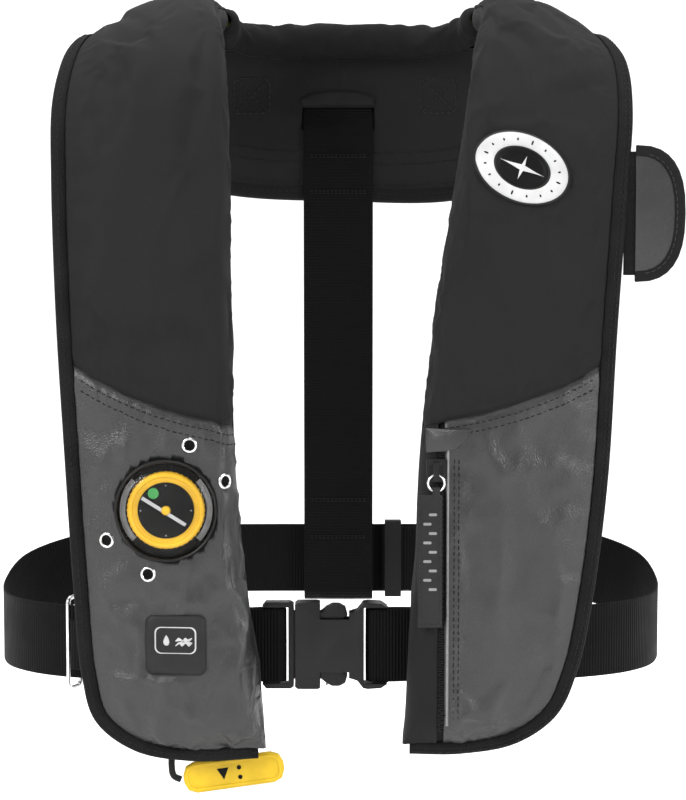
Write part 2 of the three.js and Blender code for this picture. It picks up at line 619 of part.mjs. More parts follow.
function rollRings(rim, steps, sides) {
  const path = spline(rollPath);
  return Array.from({ length: steps + 1 }, (_, i) => {
    const p = path.getPoint(i / steps);
    const t = path.getTangent(i / steps);
    const out = v3(t.y, -t.x, 0).normalize();
    const up = t.clone().cross(out).negate().normalize();
    return Array.from({ length: sides }, (_, k) => {
      const f = (k / sides) * 2 * Math.PI;
      const [a, b] = [(ROLL.y - rim) * Math.cos(f), (ROLL.z - rim) * Math.sin(f)];
      return p.clone().addScaledVector(out, a).addScaledVector(up, b);
    });
  });
}

function collar() {
  // The cover is a sleeve, open at both ends, round the folded part of the bladder.
  const sides = 10;
  const outside = rollRings(0, 16, sides);
  const inside = rollRings(COVER, 16, sides).reverse();
  const strips = Array.from({ length: sides }, (_, k) => [...outside, ...inside].map((ring) => ring[k]));
  add('neck_roll', loft(strips, true), NYLON);
  add('bladder_collar', loft(rollRings(COVER + 1.6, 16, 8)), 0xb8b04a, 0.6);
}
collar();

const panelStations = [
  [[-172, -28, 36], [-94, 0, 38]],
  [[-171, -62, 66], [-92, -14, 70]],
  [[-146, -102, 92], [-58, -27, 95]],
  [[-84, -121, 100], [-28, -27, BACK_Y]],
  [[0, -126, BACK_Y], [0, -27, BACK_Y]],
  [[84, -125, 100], [30, -27, BACK_Y]],
  [[148, -104, 92], [62, -26, 95]],
  [[173, -62, 66], [103, -13, 68]],
  [[173, -28, 36], [107, 1, 38]],
];
const panelHem = spline(panelStations.map(([[x, z, y]]) => v3(x, y, z)));
const panelTop = spline(panelStations.map(([, [x, z, y]]) => v3(x, y, z)));
const PANEL_HEM = 7;
const LAYER = 1.7; // half the room between the panel's two layers, where the strap is sewn in

function panelPoint(s, u, off) {
  const base = (a, b) => panelHem.getPoint(a).lerp(panelTop.getPoint(a), b);
  const p = base(s, u);
  const ds = base(Math.min(s + 0.01, 1), u).sub(base(Math.max(s - 0.01, 0), u));
  const du = panelTop.getPoint(s).sub(panelHem.getPoint(s));
  return p.addScaledVector(du.cross(ds).normalize(), off);
}

const STRAP_X = -2;
const STRAP_SLOT_Z = -67;
function backPanel() {
  const layer = (low, high, from, to) =>
    skin(
      (i, j) => panelPoint(i, lerp(from, to, j), high),
      (i, j) => panelPoint(i, lerp(from, to, j), low),
      18,
      3,
    );
  const hemShare = 0.085;
  add('back_panel_cover', layer(LAYER, LAYER + COVER, hemShare, 1), NYLON);
  const slot = block(STRAP_X - WEB / 2 - 2, STRAP_X + WEB / 2 + 2, 0, BACK_Y + 1, STRAP_SLOT_Z - 8, STRAP_SLOT_Z + 9);
  add('back_panel_lining', cut(layer(-LAYER - LINING, -LAYER, hemShare, 1), slot), NYLON);
  const hem = layer(-LAYER - LINING, LAYER + COVER, 0, hemShare - 0.008);
  add('back_panel_hem', hem, TAPE);
}
backPanel();

// ---- belt ----
const BELT_Z = HEM_Z + BELT_LIFT;
const REAR_Y = 113;
const PLY_Y = EDGE_Y + LINING_PUFF + LINING + 4.5; // first webbing ply behind the lobes
const BUCKLE_Y = PLY_Y + 2.2; // middle plane of the buckle
const beltZ = (y) => BELT_Z + BELT_RISE * smooth(y, -10, REAR_Y);
const beltRun = (points) => points.map(([x, y]) => v3(x, y, beltZ(y)));
const PLY = 3.9; // from the buckle bar's middle to the middle of a webbing ply round it

function belt() {
  // One webbing from the female buckle's bar round the right, the back and the left side.
  const rightEnd = BELT_HALF - 14;
  const run = [
    [86, BUCKLE_Y + PLY], [40, BUCKLE_Y + PLY], [20.6, BUCKLE_Y + PLY], [18.2, BUCKLE_Y + 2.3],
    [17.4, BUCKLE_Y], [18.2, BUCKLE_Y - 2.3], [20.6, BUCKLE_Y - PLY], [34, BUCKLE_Y - PLY],
    [52, BUCKLE_Y - 1], [100, BUCKLE_Y - 0.5], [rightEnd - 61, -58], [rightEnd - 21, -34], [rightEnd - 2, 0],
    [rightEnd, 26], [rightEnd - 12, 62], [rightEnd - 49, 94], [120, REAR_Y - 5], [60, REAR_Y],
    [0, REAR_Y], [-60, REAR_Y], [-120, REAR_Y - 4], [-BELT_HALF + 59, 94], [-BELT_HALF + 14, 60],
    [-BELT_HALF, 22], [-BELT_HALF + 2, -4], [-BELT_HALF + 20, -36], [-BELT_HALF + 55, -58], [-140, PLY_Y + 7],
    [-96, PLY_Y + 8],
  ];
  const path = along(beltRun(run.slice(6)), 46).slice(1);
  const turn = beltRun(run.slice(0, 7));
  add('belt', tape([...turn, ...path], UP, WEB, WEB_T), WEBBING);

  // Spare end of the belt, doubled inside at the back, in an elastic keeper.
  const tail = along(beltRun([[150, REAR_Y - 15], [110, REAR_Y - 8], [70, REAR_Y - 4], [30, REAR_Y - 3.6]]), 10);
  add('belt_tail', tape(tail, UP, WEB - 3, WEB_T - 0.4), WEBBING);
  const z = beltZ(REAR_Y);
  const [x0, x1] = [32, 44];
  const frame = block(x0, x1, REAR_Y - 6.4, REAR_Y + 3, z - WEB / 2 - 3, z + WEB / 2 + 3);
  const room = block(x0 - 1, x1 + 1, REAR_Y - 5, REAR_Y + 1.6, z - WEB / 2 - 1, z + WEB / 2 + 1);
  add('belt_keeper', cut(frame, room), 0x101010, 0.9);
}
belt();

// Webbing of the left front: round the male buckle's bar and back behind the lobe.
function frontStrap() {
  const y = BUCKLE_Y;
  const run = [
    [-138, PLY_Y - 0.4], [-66, PLY_Y - 0.4], [-54, y - PLY + 0.4], [-40.6, y - PLY], [-38.2, y - 2.3],
    [-37.4, y], [-38.2, y + 2.3], [-40.6, y + PLY], [-54, y + PLY], [-66, PLY_Y + 3.4], [-138, PLY_Y + 3.4],
  ];
  add('front_strap', tape(run.map(([x, yy]) => v3(x, yy, BELT_Z)), UP, WEB, WEB_T), WEBBING);
}
frontStrap();

// ---- back strap, sewn to the back panel and looped round the belt ----
function backStrap() {
  const beltTop = beltZ(REAR_Y);
  const low = beltTop - WEB / 2 - 4;
  const run = [
    [BACK_Y, -40], [BACK_Y, -58], [BACK_Y - 2.4, -66], [BACK_Y - 5, -74], [BACK_Y - 5.2, -120],
    [BACK_Y - 2, lerp(-120, beltTop + 36, 0.386)], [BACK_Y + 4, lerp(-120, beltTop + 36, 0.87)],
    [REAR_Y - 7, beltTop + 36],
    [REAR_Y - 8.6, beltTop + 20], [REAR_Y - 8.6, low + 6], [REAR_Y - 6, low + 1],
    [REAR_Y, low - 1], [REAR_Y + 3.4, low + 2], [REAR_Y + 4.4, low + 8],
    [REAR_Y + 4.4, beltTop + 34], [REAR_Y - 2.4, beltTop + 64], [REAR_Y - 5.2, beltTop + 84],
  ];
  const path = run.map(([y, z]) => v3(STRAP_X, y, z));
  add('back_strap', tape(path, v3(1, 0, 0), WEB, WEB_T), WEBBING);
}
backStrap();

// ---- wire ring for the belt at the left lobe's edge ----
const RING = { x: 9 - CHEST_HALF, y: -59, h: WEB + 12, w: 14, wire: 1.5 };
const ringDir = v3(0.5, 0.87, 0).normalize();
function beltRing() {
  const outline = roundedBox(RING.w, RING.h, 4);
  const centre = v3(RING.x, RING.y, BELT_Z);
  const path = outline.map(([a, z]) => centre.clone().addScaledVector(ringDir, a).addScaledVector(UP, z));
  const flat = ringDir.clone().cross(UP);
  const n = path.length;
  const rings = path.map((p, i) => {
    const t = path[(i + 1) % n].clone().sub(path[(i + n - 1) % n]).normalize();
    const side = t.clone().cross(flat).normalize();
    return Array.from({ length: 8 }, (_, k) => {
      const f = (k / 8) * 2 * Math.PI;
      const [a, b] = [RING.wire * Math.cos(f), RING.wire * Math.sin(f)];
      return p.clone().addScaledVector(side, a).addScaledVector(flat, b);
    });
  });
  add('belt_ring', loft(rings, true), STEEL, 0.2, 1);
}
beltRing();

function ringTab() {
  const path = [[-1.4, -67.2], [7, -71.8], [17, -75], [29, -76]];
  const run = path.map(([x, y]) => v3(RING.x + x, y, BELT_Z));
  add('ring_tab', tape(run, UP, 34, 1.6), WEBBING);
}
ringTab();

// ---- pull handle and its lanyard ----
const HANDLE = { x: -72, y: CORD_Y + 1, z: HEM_Z - 9.5, length: 68, height: 21, thick: 5, tilt: 0.14 };
const LANYARD_PATH = [
  [0, cylinderY - 5.6, LEVER_Z - 5.2], [0, cylinderY - 4, LEVER_Z - 30], [0, CORD_Y, LEVER_Z - 72],
  [0, CORD_Y, LEVER_Z - 110], [0, CORD_Y, HEM_Z + 8], [-0.8, CORD_Y, HEM_Z - 4],
  [0.6, CORD_Y + 0.6, HEM_Z - 12], [5.4, HANDLE.y, HEM_Z - 14.6],
];
function pullHandle() {
  const outline = roundedBox(HANDLE.length, HANDLE.height, 8);
  const plate = (y) => outline.map(([x, z]) => v3(x, y, z));
  const grip = loft([plate(-HANDLE.thick / 2), plate(HANDLE.thick / 2)]);
  grip.rotateY(-HANDLE.tilt).translate(HANDLE.x, HANDLE.y, HANDLE.z);
  add('pull_handle', grip, 0xffd714, 0.5);

  const route = LANYARD_PATH.map(([x, y, z]) => v3(cordX + x, y, z));
  const section = new THREE.Shape();
  section.absarc(0, 0, LANYARD_D / 2, 0, 2 * Math.PI);
  const options = { steps: 20, curveSegments: 4, extrudePath: spline(route) };
  add('pull_lanyard', new THREE.ExtrudeGeometry(section, options), 0x151515, 0.9);
}
pullHandle();

// ---- side release buckle ----
const HALF = WEB / 2 + 4.5; // half the height of the buckle
const SLOT = WEB / 2 + 1;
const SHELL = 7.2;
const BAR = 2.5;
const MOUTH_X = -31;

// Plate in the XZ plane, `half` thick to each side of the buckle's middle plane.
function platen(top, half) {
  const outline = [...top, ...top.map(([x, z]) => [x, -z]).reverse()];
  const shape = new THREE.Shape(outline.map(([x, z]) => new THREE.Vector2(x, z)));
  const g = new THREE.ExtrudeGeometry(shape, { depth: 2 * half, bevelEnabled: false });
  return g.rotateX(Math.PI / 2).translate(0, BUCKLE_Y + half, BELT_Z);
}
const cavity = (x0, x1, z0, z1, half, y0 = -half) =>
  block(x0, x1, BUCKLE_Y + y0, BUCKLE_Y + half, BELT_Z + z0, BELT_Z + z1);

function buckle() {
  const top = [
    [MOUTH_X, HALF - 1.5], [MOUTH_X + 2, HALF], [-16, HALF], [-11, HALF - 1.6], [-2, HALF - 5.6],
    [6, HALF - 7.4], [11, HALF - 5.8], [15, HALF - 0.6], [18, HALF], [27, HALF - 0.6], [32, HALF - 4],
  ];
  const barThin = (x0, x1) => [cavity(x0, x1, -SLOT, SLOT, 20, BAR), cavity(x0, x1, -SLOT, SLOT, -BAR, -20)];
  const windows = [cavity(-14, 5.4, 18, 60, 20), cavity(-14, 5.4, -60, -18, 20)];
  const inside = cavity(MOUTH_X - 1, 9, -HALF + 3.5, HALF - 3.5, 4.4);
  const slot = cavity(15.5, 21, -SLOT, SLOT, 20);
  add('buckle_female', cut(platen(top, SHELL), inside, ...windows, slot, ...barThin(21, 40)), PLASTIC, 0.35);

  const frameTop = [[-53, HALF - 3], [-50.5, HALF], [-34, HALF], [MOUTH_X - 0.8, HALF - 1.5]];
  const root = cavity(MOUTH_X - 2, -27.2, -23, 23, 3.8);
  const tongue = cavity(-28, -12, -3, 3, 3.4);
  const frame = join(platen(frameTop, 5), root, tongue);
  add('buckle_male', cut(frame, cavity(-41, -35.5, -SLOT, SLOT, 20), ...barThin(-60, -41)), PLASTIC, 0.35);

  const barb = [
    [-26.5, 17.5], [-26.5, 22.5], [-13.5, 23], [-10, 26], [-6, 28.2], [-1, 28.2], [3, 26], [4.6, 20],
    [1, 17.5],
  ];
  for (const [name, side] of [['prong_upper', 1], ['prong_lower', -1]]) {
    const ring = (y) => barb.map(([x, z]) => new THREE.Vector2(x, side * (z + (WEB - 50) / 2)));
    const g = new THREE.ExtrudeGeometry(new THREE.Shape(ring()), { depth: 7.2, bevelEnabled: false });
    add(name, g.rotateX(Math.PI / 2).translate(0, BUCKLE_Y + 3.6, BELT_Z), PLASTIC, 0.35);
  }
}
buckle();

// ---- round side tab on the right edge, and the flap over the zip ----
const TAB = { x: CHEST_HALF + 3.4, y: EDGE_Y + 1, z: -126, width: 33, half: 45, tape: 8 };
function dShape(width, half, start = 0) {
  const n = 16;
  return Array.from({ length: n + 1 }, (_, k) => {
    const f = (k / n - 0.5) * Math.PI;
    const [c, q] = [Math.cos(f), Math.sin(f)];
    return [start + (width - start) * Math.max(c, 0) ** 0.75, half * Math.sign(q) * Math.abs(q) ** 0.8];
  });
}
function sideTab() {
  const slab = (outline, y0, y1) => {
    const shape = new THREE.Shape(outline.map(([x, z]) => new THREE.Vector2(x, z)));
    const g = new THREE.ExtrudeGeometry(shape, { depth: y1 - y0, bevelEnabled: false });
    return g.rotateX(Math.PI / 2).translate(TAB.x, TAB.y + y1, TAB.z);
  };
  const inner = dShape(TAB.width - TAB.tape, TAB.half - TAB.tape);
  const hole = dShape(TAB.width - TAB.tape + 2 * GAP, TAB.half - TAB.tape + 2 * GAP, -0.5);
  add('side_tab_panel', slab(inner, -1.4, 1.4), GRAIN, 0.5);
  add('side_tab_tape', cut(slab(dShape(TAB.width, TAB.half), -2.2, 2.2), slab(hole, -9, 9)), TAPE);
}
sideTab();

const FLAP = [70, -SEAM_DROP - 8];
const FLAP_GAP = 1.6; // between the zip's teeth and the flap over them
const flapEdge = [[-12, 7], [-12, -9], [-2, -7.4], [5, -5.4], [11, -0.5], [15, 7], [2, 7]];
const flapLift = Math.max(
  ...zipSeats.slice(-3).map(({ x, z }) => {
    const { p, n } = onLobe(right, x, z);
    return (p.y - faceY + FLAP_GAP) / Math.abs(n.y);
  }),
);
add('zip_flap', conformal(right, FLAP, flapEdge, flapLift, flapLift + 1), GRAIN, 0.5);

export default group;
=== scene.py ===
"""Inflatable life jacket: cloth, webbing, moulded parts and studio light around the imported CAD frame.
Metres, +Z up, -Y is the wearer's front, +X the wearer's left."""

import math
from contextlib import contextmanager

import bmesh
import bpy
import numpy as np
from mathutils import Matrix, Vector, noise


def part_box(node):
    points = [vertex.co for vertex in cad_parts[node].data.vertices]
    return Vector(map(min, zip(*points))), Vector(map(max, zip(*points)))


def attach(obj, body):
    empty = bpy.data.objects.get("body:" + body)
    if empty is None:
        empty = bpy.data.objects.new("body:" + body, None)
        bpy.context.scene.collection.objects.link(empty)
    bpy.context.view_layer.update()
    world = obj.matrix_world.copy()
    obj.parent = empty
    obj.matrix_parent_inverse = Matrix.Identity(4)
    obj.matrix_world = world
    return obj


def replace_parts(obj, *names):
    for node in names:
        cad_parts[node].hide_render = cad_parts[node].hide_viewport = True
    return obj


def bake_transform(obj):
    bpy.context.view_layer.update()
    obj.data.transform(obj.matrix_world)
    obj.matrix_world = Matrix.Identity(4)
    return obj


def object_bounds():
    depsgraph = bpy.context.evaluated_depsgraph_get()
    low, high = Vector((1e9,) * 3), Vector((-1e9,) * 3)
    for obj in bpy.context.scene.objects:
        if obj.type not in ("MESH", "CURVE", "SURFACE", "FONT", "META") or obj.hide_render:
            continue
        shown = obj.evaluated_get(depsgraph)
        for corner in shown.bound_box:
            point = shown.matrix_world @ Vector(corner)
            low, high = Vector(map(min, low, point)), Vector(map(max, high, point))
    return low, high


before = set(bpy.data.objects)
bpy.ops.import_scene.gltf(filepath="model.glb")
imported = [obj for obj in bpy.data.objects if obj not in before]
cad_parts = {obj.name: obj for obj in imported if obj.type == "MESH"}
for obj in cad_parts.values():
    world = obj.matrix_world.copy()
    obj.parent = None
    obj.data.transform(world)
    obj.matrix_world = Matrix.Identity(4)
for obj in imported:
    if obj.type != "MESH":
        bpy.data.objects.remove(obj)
cad_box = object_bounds()

MM = 0.001
CHEST_HALF, LOBE_DROP, EDGE_Y, BACK_Y = 190, 492, -95, 102  # the CAD's driving sizes, in mm
LOBE_PUFF, LINING_PUFF, COVER, LINING, BINDING, GAP = 17, 19, 2.2, 1.5, 8, 0.4
SEAM_DROP = 265


def low(node):
    return np.array(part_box(node)[0])


def high(node):
    return np.array(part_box(node)[1])


def centre(node):
    return (low(node) + high(node)) / 2


# ---- camera at the photograph's angle ----
def make_camera():
    camera = bpy.data.objects.new("camera", bpy.data.cameras.new("camera"))
    camera.data.sensor_fit = "VERTICAL"
    camera.data.sensor_height = 36
    camera.data.lens = 134.1
    camera.location = (0.0014, -2.053, -0.037)
    camera.rotation_euler = (math.radians(90 - 6.18), 0, 0)
    bpy.context.scene.collection.objects.link(camera)
    bpy.context.scene.camera = camera


make_camera()


# ---- mesh helpers ----
def new_piece(name, points, faces, material, body="root", smooth=True):
    mesh = bpy.data.meshes.new(name)
    mesh.from_pydata([tuple(p) for p in points], [], [tuple(f) for f in faces])
    mesh.validate()
    return finish_piece(name, mesh, material, body, smooth)


def finish_piece(name, mesh, material, body, smooth=True):
    piece = bpy.data.objects.new(name, mesh)
    bpy.context.scene.collection.objects.link(piece)
    mesh.polygons.foreach_set("use_smooth", [smooth] * len(mesh.polygons))
    mesh.materials.clear()
    mesh.materials.append(material)
    if body:
        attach(piece, body)
    return piece


def apply_modifiers(piece):
    graph = bpy.context.evaluated_depsgraph_get()
    mesh = bpy.data.meshes.new_from_object(piece.evaluated_get(graph))
    piece.modifiers.clear()
    piece.data = mesh
    return piece


def set_uv(mesh, uv):
    layer = mesh.uv_layers.new(name="cloth")
    loops = np.zeros(len(mesh.loops), int)
    mesh.loops.foreach_get("vertex_index", loops)
    layer.data.foreach_set("uv", np.asarray(uv, np.float32)[loops].ravel())


def grid_faces(rows, cols):
    return [
        (i * cols + j, i * cols + j + 1, (i + 1) * cols + j + 1, (i + 1) * cols + j)
        for i in range(rows - 1)
        for j in range(cols - 1)
    ]


def lengths(grid, axis):
    """Distance along the grid from its first row or column, at each point."""
    step = np.linalg.norm(np.diff(grid, axis=axis), axis=-1)
    pad = [(0, 0), (0, 0)]
    pad[axis] = (1, 0)
    return np.pad(np.cumsum(step, axis=axis), pad)


def sheet_piece(name, grid, material, thick, outward, body="root"):
    """Cloth of a real thickness over a grid of points; outward is a point or direction its face looks to."""
    rows, cols = grid.shape[:2]
    faces = grid_faces(rows, cols)
    a, b, c = grid[rows // 2, cols // 2], grid[rows // 2, cols // 2 + 1], grid[rows // 2 + 1, cols // 2]
    if np.cross(b - a, c - a) @ np.asarray(outward, float) < 0:
        faces = [f[::-1] for f in faces]
    piece = new_piece(name, grid.reshape(-1, 3), faces, material, body)
    set_uv(piece.data, np.stack([lengths(grid, 0), lengths(grid, 1)], -1).reshape(-1, 2))
    solid = piece.modifiers.new("thickness", "SOLIDIFY")
    solid.thickness = thick
    solid.offset = -1
    solid.use_even_offset = False
    return apply_modifiers(piece)


class Spline:
    """Centripetal Catmull-Rom curve through points, the same curve as the CAD's."""

    def __init__(self, points):
        p = np.array(points, float)
        self.count = len(p)
        self.points = np.vstack([2 * p[0] - p[1], p, 2 * p[-1] - p[-2]])

    def __call__(self, t):
        t = np.clip(np.asarray(t, float), 0, 1) * (self.count - 1)
        i = np.minimum(t.astype(int), self.count - 2)
        s = (t - i)[..., None]
        x0, x1, x2, x3 = (self.points[i + k] for k in range(4))
        gap = [np.maximum(np.linalg.norm(b - a, axis=-1, keepdims=True), 1e-9) ** 0.5
               for a, b in ((x0, x1), (x1, x2), (x2, x3))]
        into = ((x1 - x0) / gap[0] - (x2 - x0) / (gap[0] + gap[1]) + (x2 - x1) / gap[1]) * gap[1]
        onto = ((x2 - x1) / gap[1] - (x3 - x1) / (gap[1] + gap[2]) + (x3 - x2) / gap[2]) * gap[1]
        return (x1 + into * s + (3 * (x2 - x1) - 2 * into - onto) * s**2
                + (2 * (x1 - x2) + into + onto) * s**3)


def unit(v):
    return v / np.maximum(np.linalg.norm(v, axis=-1, keepdims=True), 1e-12)


def lerp(a, b, t):
    return a + (b - a) * t


def smooth_step(x, a, b):
    s = np.clip((x - a) / (b - a), 0, 1)
    return s * s * (3 - 2 * s)


def run_along(path):
    """Distance along a polyline from its first point, at each point."""
    return np.concatenate([[0], np.cumsum(np.linalg.norm(np.diff(path, axis=0), axis=1))])


def even(path, step):
    """Points a fixed distance apart along a polyline."""
    path = np.asarray(path, float)
    run = run_along(path)
    spots = np.linspace(0, run[-1], max(2, int(round(run[-1] / step)) + 1))
    return np.stack([np.interp(spots, run, path[:, k]) for k in range(3)], 1)


def loft(rings, closed_ends=True):
    """Vertices and faces through rings of points."""
    n = len(rings[0])
    points = np.concatenate(rings)
    faces = [
        (r * n + k, r * n + (k + 1) % n, (r + 1) * n + (k + 1) % n, (r + 1) * n + k)
        for r in range(len(rings) - 1)
        for k in range(n)
    ]
    if closed_ends:
        faces += [tuple(range(n))[::-1], tuple(range(len(points) - n, len(points)))]
    return points, faces


@contextmanager
def edited(source, target=None):
    """A mesh opened for bmesh work, written back or into another mesh at the end."""
    work = bmesh.new()
    work.from_mesh(source)
    yield work
    work.to_mesh(source if target is None else target)
    work.free()


def outward_faces(piece):
    with edited(piece.data) as mesh:
        bmesh.ops.remove_doubles(mesh, verts=mesh.verts, dist=1e-7)
        bmesh.ops.recalc_face_normals(mesh, faces=mesh.faces)
    return piece


def moulded(node, name, material, bevel, body="root", segments=3, sharp=25):
    """A moulded piece with rounded edges in the shape of a CAD node, which it replaces."""
    data = bpy.data.meshes.new(name)
    with edited(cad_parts[node].data, data) as mesh:
        bmesh.ops.remove_doubles(mesh, verts=mesh.verts, dist=2e-6)
        bmesh.ops.dissolve_limit(mesh, angle_limit=math.radians(1), verts=mesh.verts, edges=mesh.edges)
    piece = finish_piece(name, data, material, body)
    edge = piece.modifiers.new("edges", "BEVEL")
    edge.width = bevel
    edge.segments = segments
    edge.limit_method = "ANGLE"
    edge.angle_limit = math.radians(sharp)
    edge.harden_normals = True
    apply_modifiers(piece)
    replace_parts(piece, node)
    return piece


# ---- materials ----
class Nodes:
    """A Principled material under construction."""

    def __init__(self, name, roughness, metallic=0.0):
        self.material = bpy.data.materials.new(name)
        self.material.use_nodes = True
        self.tree = self.material.node_tree
        self.shader = self.tree.nodes["Principled BSDF"]
        self.shader.inputs["Roughness"].default_value = roughness
        self.shader.inputs["Metallic"].default_value = metallic

    def make(self, kind, **inputs):
        node = self.tree.nodes.new(kind)
        for key, value in inputs.items():
            if hasattr(node, key) and not key[0].isupper():
                setattr(node, key, value)
                continue
            socket = node.inputs[int(key[1:])] if key[0] == "_" else node.inputs[key.replace("__", " ")]
            if isinstance(value, bpy.types.NodeSocket):
                self.tree.links.new(value, socket)
            else:
                socket.default_value = value
        return node

    def math(self, operation, a, b=0.0):
        return self.make("ShaderNodeMath", operation=operation, _0=a, _1=b).outputs[0]

    def noise(self, place, scale, detail=3.0, stretch=(1, 1, 1)):
        spread = self.make("ShaderNodeMapping", Vector=place, Scale=stretch).outputs[0]
        return self.make("ShaderNodeTexNoise", Vector=spread, Scale=scale, Detail=detail).outputs["Fac"]

    def ramp(self, factor, dark, light, low_end=0.3, high_end=0.7):
        node = self.make("ShaderNodeValToRGB", Fac=factor)
        ends = node.color_ramp.elements
        ends[0].position, ends[1].position = low_end, high_end
        ends[0].color, ends[1].color = (*dark, 1), (*light, 1)
        return node.outputs["Color"]

    def remap(self, factor, to_low, to_high):
        return self.make("ShaderNodeMapRange", Value=factor, _1=0.25, _2=0.75, _3=to_low,
                         _4=to_high).outputs[0]

    def object_place(self):
        return self.make("ShaderNodeTexCoord").outputs["Object"]

    def bump(self, *layers):
        """Layers of (height, metres) on top of each other."""
        normal = None
        for height, distance in layers:
            node = self.make("ShaderNodeBump", Height=height, Distance=distance, Strength=1.0)
            if normal:
                self.tree.links.new(normal, node.inputs["Normal"])
            normal = node.outputs[0]
        self.tree.links.new(normal, self.shader.inputs["Normal"])

    def link(self, output, socket):
        self.tree.links.new(output, self.shader.inputs[socket])

    def paint_relief_shading(self, base, share, mask, dark, light, low_end, high_end):
        """Painted shade and highlight: the base colour darkened in the mask's hollows, where shade falls, and
        lightened on its tops, where light falls.
        """
        tone = self.ramp(mask, (dark,) * 3, (light,) * 3, low_end, high_end)
        mixed = self.make("ShaderNodeMix", data_type="RGBA", blend_type="MULTIPLY", Factor=share, _6=base,
                          _7=tone)
        self.link(mixed.outputs[2], "Base Color")

    def fixed(self, **values):
        for key, value in values.items():
            self.shader.inputs[key.replace("_", " ")].default_value = value
        return self.material


def shade(level, tint=(1, 1, 1)):
    """Linear colour from a display level of 0 to 255."""
    return tuple(((level * t / 255 + 0.055) / 1.055) ** 2.4 for t in tint)


def weave_height(n, along, across, pitch):
    """Plain weave: two sets of round threads that pass over and under each other."""
    a = n.math("MULTIPLY", along, math.pi / pitch)
    b = n.math("MULTIPLY", across, math.pi / pitch)
    over = n.math("MULTIPLY", n.math("SINE", a), n.math("SINE", b))
    thread_a = n.math("ABSOLUTE", n.math("SINE", a))
    thread_b = n.math("ABSOLUTE", n.math("SINE", b))
    pick = n.math("GREATER_THAN", over, 0.0)
    first = n.math("MULTIPLY", thread_a, pick)
    return n.math("ADD", first, n.math("MULTIPLY", thread_b, n.math("SUBTRACT", 1.0, pick)))


def slanted(n, place):
    """Two in-plane coordinates that stay spread out on faces of any direction."""
    parts = n.make("ShaderNodeSeparateXYZ", Vector=place).outputs
    first = n.math("ADD", parts[0], n.math("MULTIPLY", parts[1], 0.7))
    return first, n.math("ADD", parts[2], n.math("MULTIPLY", parts[1], 0.5))


def woven(name, level, tint=(1, 1, 1), pitch=0.00075, rough=0.74, sheen=0.02, height=0.00006):
    n = Nodes(name, rough)
    place = n.object_place()
    along, across = slanted(n, place)
    weave = weave_height(n, along, across, pitch)
    cloud = n.noise(place, 14, 5)
    fibre = n.noise(place, 1500, 2, (1, 1, 0.3))
    mixed = n.math("ADD", n.math("MULTIPLY", cloud, 0.55), n.math("MULTIPLY", fibre, 0.45))
    base = n.ramp(mixed, shade(level * 0.8, tint), shade(level * 1.22, tint))
    # Painted shade in the weave's hollows and painted highlight on its thread tops.
    n.paint_relief_shading(base, 0.3, weave, 0.55, 1.15, 0.1, 0.9)
    n.link(n.remap(cloud, rough - 0.08, rough + 0.1), "Roughness")
    n.bump((n.noise(place, 60, 4), 0.0005), (weave, height), (fibre, 0.00003))
    return n.fixed(Sheen_Weight=sheen, Sheen_Roughness=0.4, Specular_IOR_Level=0.12)


def grained(name, level, tint=(1, 1, 1)):
    """Coated cloth with pebbled leather grain, shinier on the rubbed tops of the pebbles, with painted shade in
    the grain's hollows and a painted highlight on the pebble tops.
    """
    n = Nodes(name, 0.42)
    place = n.object_place()
    warp = n.noise(place, 420, 2)
    bent = n.make("ShaderNodeVectorMath", operation="ADD", _0=place,
                  _1=n.make("ShaderNodeCombineXYZ", X=n.math("MULTIPLY", warp, 0.0007),
                            Z=n.math("MULTIPLY", warp, 0.0009)).outputs[0]).outputs[0]
    cell = n.make("ShaderNodeTexVoronoi", feature="DISTANCE_TO_EDGE", Vector=bent, Scale=620).outputs[0]
    pebble = n.math("MINIMUM", n.math("MULTIPLY", cell, 4.0), 1.0)
    patchy = n.noise(place, 22, 5)
    base = n.ramp(patchy, shade(level * 0.86, tint), shade(level * 1.16, tint))
    # Painted shade in the grain's hollows and painted highlight on the pebble tops.
    n.paint_relief_shading(base, 0.6, pebble, 0.45, 1.12, 0.0, 0.8)
    n.link(n.math("ADD", n.remap(patchy, 0.33, 0.46), n.math("MULTIPLY", pebble, -0.06)), "Roughness")
    n.bump((n.noise(place, 90, 4), 0.0007), (pebble, 0.00009), (n.noise(place, 2400, 2), 0.000012))
    return n.fixed(Specular_IOR_Level=0.5, Coat_Weight=0.12, Coat_Roughness=0.4)


def ribbed(name, level, rib=0.00215, tint=(1, 1, 1), rough=0.62, rib_depth=0.00035):
    """Woven tape with ribs across its length; reads the cloth UV, which is in metres along and across."""
    n = Nodes(name, rough)
    uv = n.make("ShaderNodeSeparateXYZ", Vector=n.make("ShaderNodeUVMap", uv_map="cloth").outputs[0]).outputs
    place = n.object_place()
    ribs = n.math("ABSOLUTE", n.math("SINE", n.math("MULTIPLY", uv[0], math.pi / rib)))
    warp = n.math("SINE", n.math("MULTIPLY", uv[1], 2 * math.pi / 0.0011))
    dots = n.math("MULTIPLY", ribs, n.math("ADD", 0.78, n.math("MULTIPLY", warp, 0.22)))
    cloud = n.noise(place, 40, 4)
    base = n.ramp(cloud, shade(level * 0.75, tint), shade(level * 1.3, tint))
    # Painted shade in the hollows between the ribs and painted highlight on the rib tops.
    n.paint_relief_shading(base, 0.75, dots, 0.3, 1.2, 0.05, 0.9)
    n.link(n.remap(cloud, rough - 0.1, rough + 0.1), "Roughness")
    n.bump((dots, rib_depth), (n.noise(place, 1800, 2), 0.00006))
    return n.fixed(Sheen_Weight=0.01, Sheen_Roughness=0.5, Specular_IOR_Level=0.08)


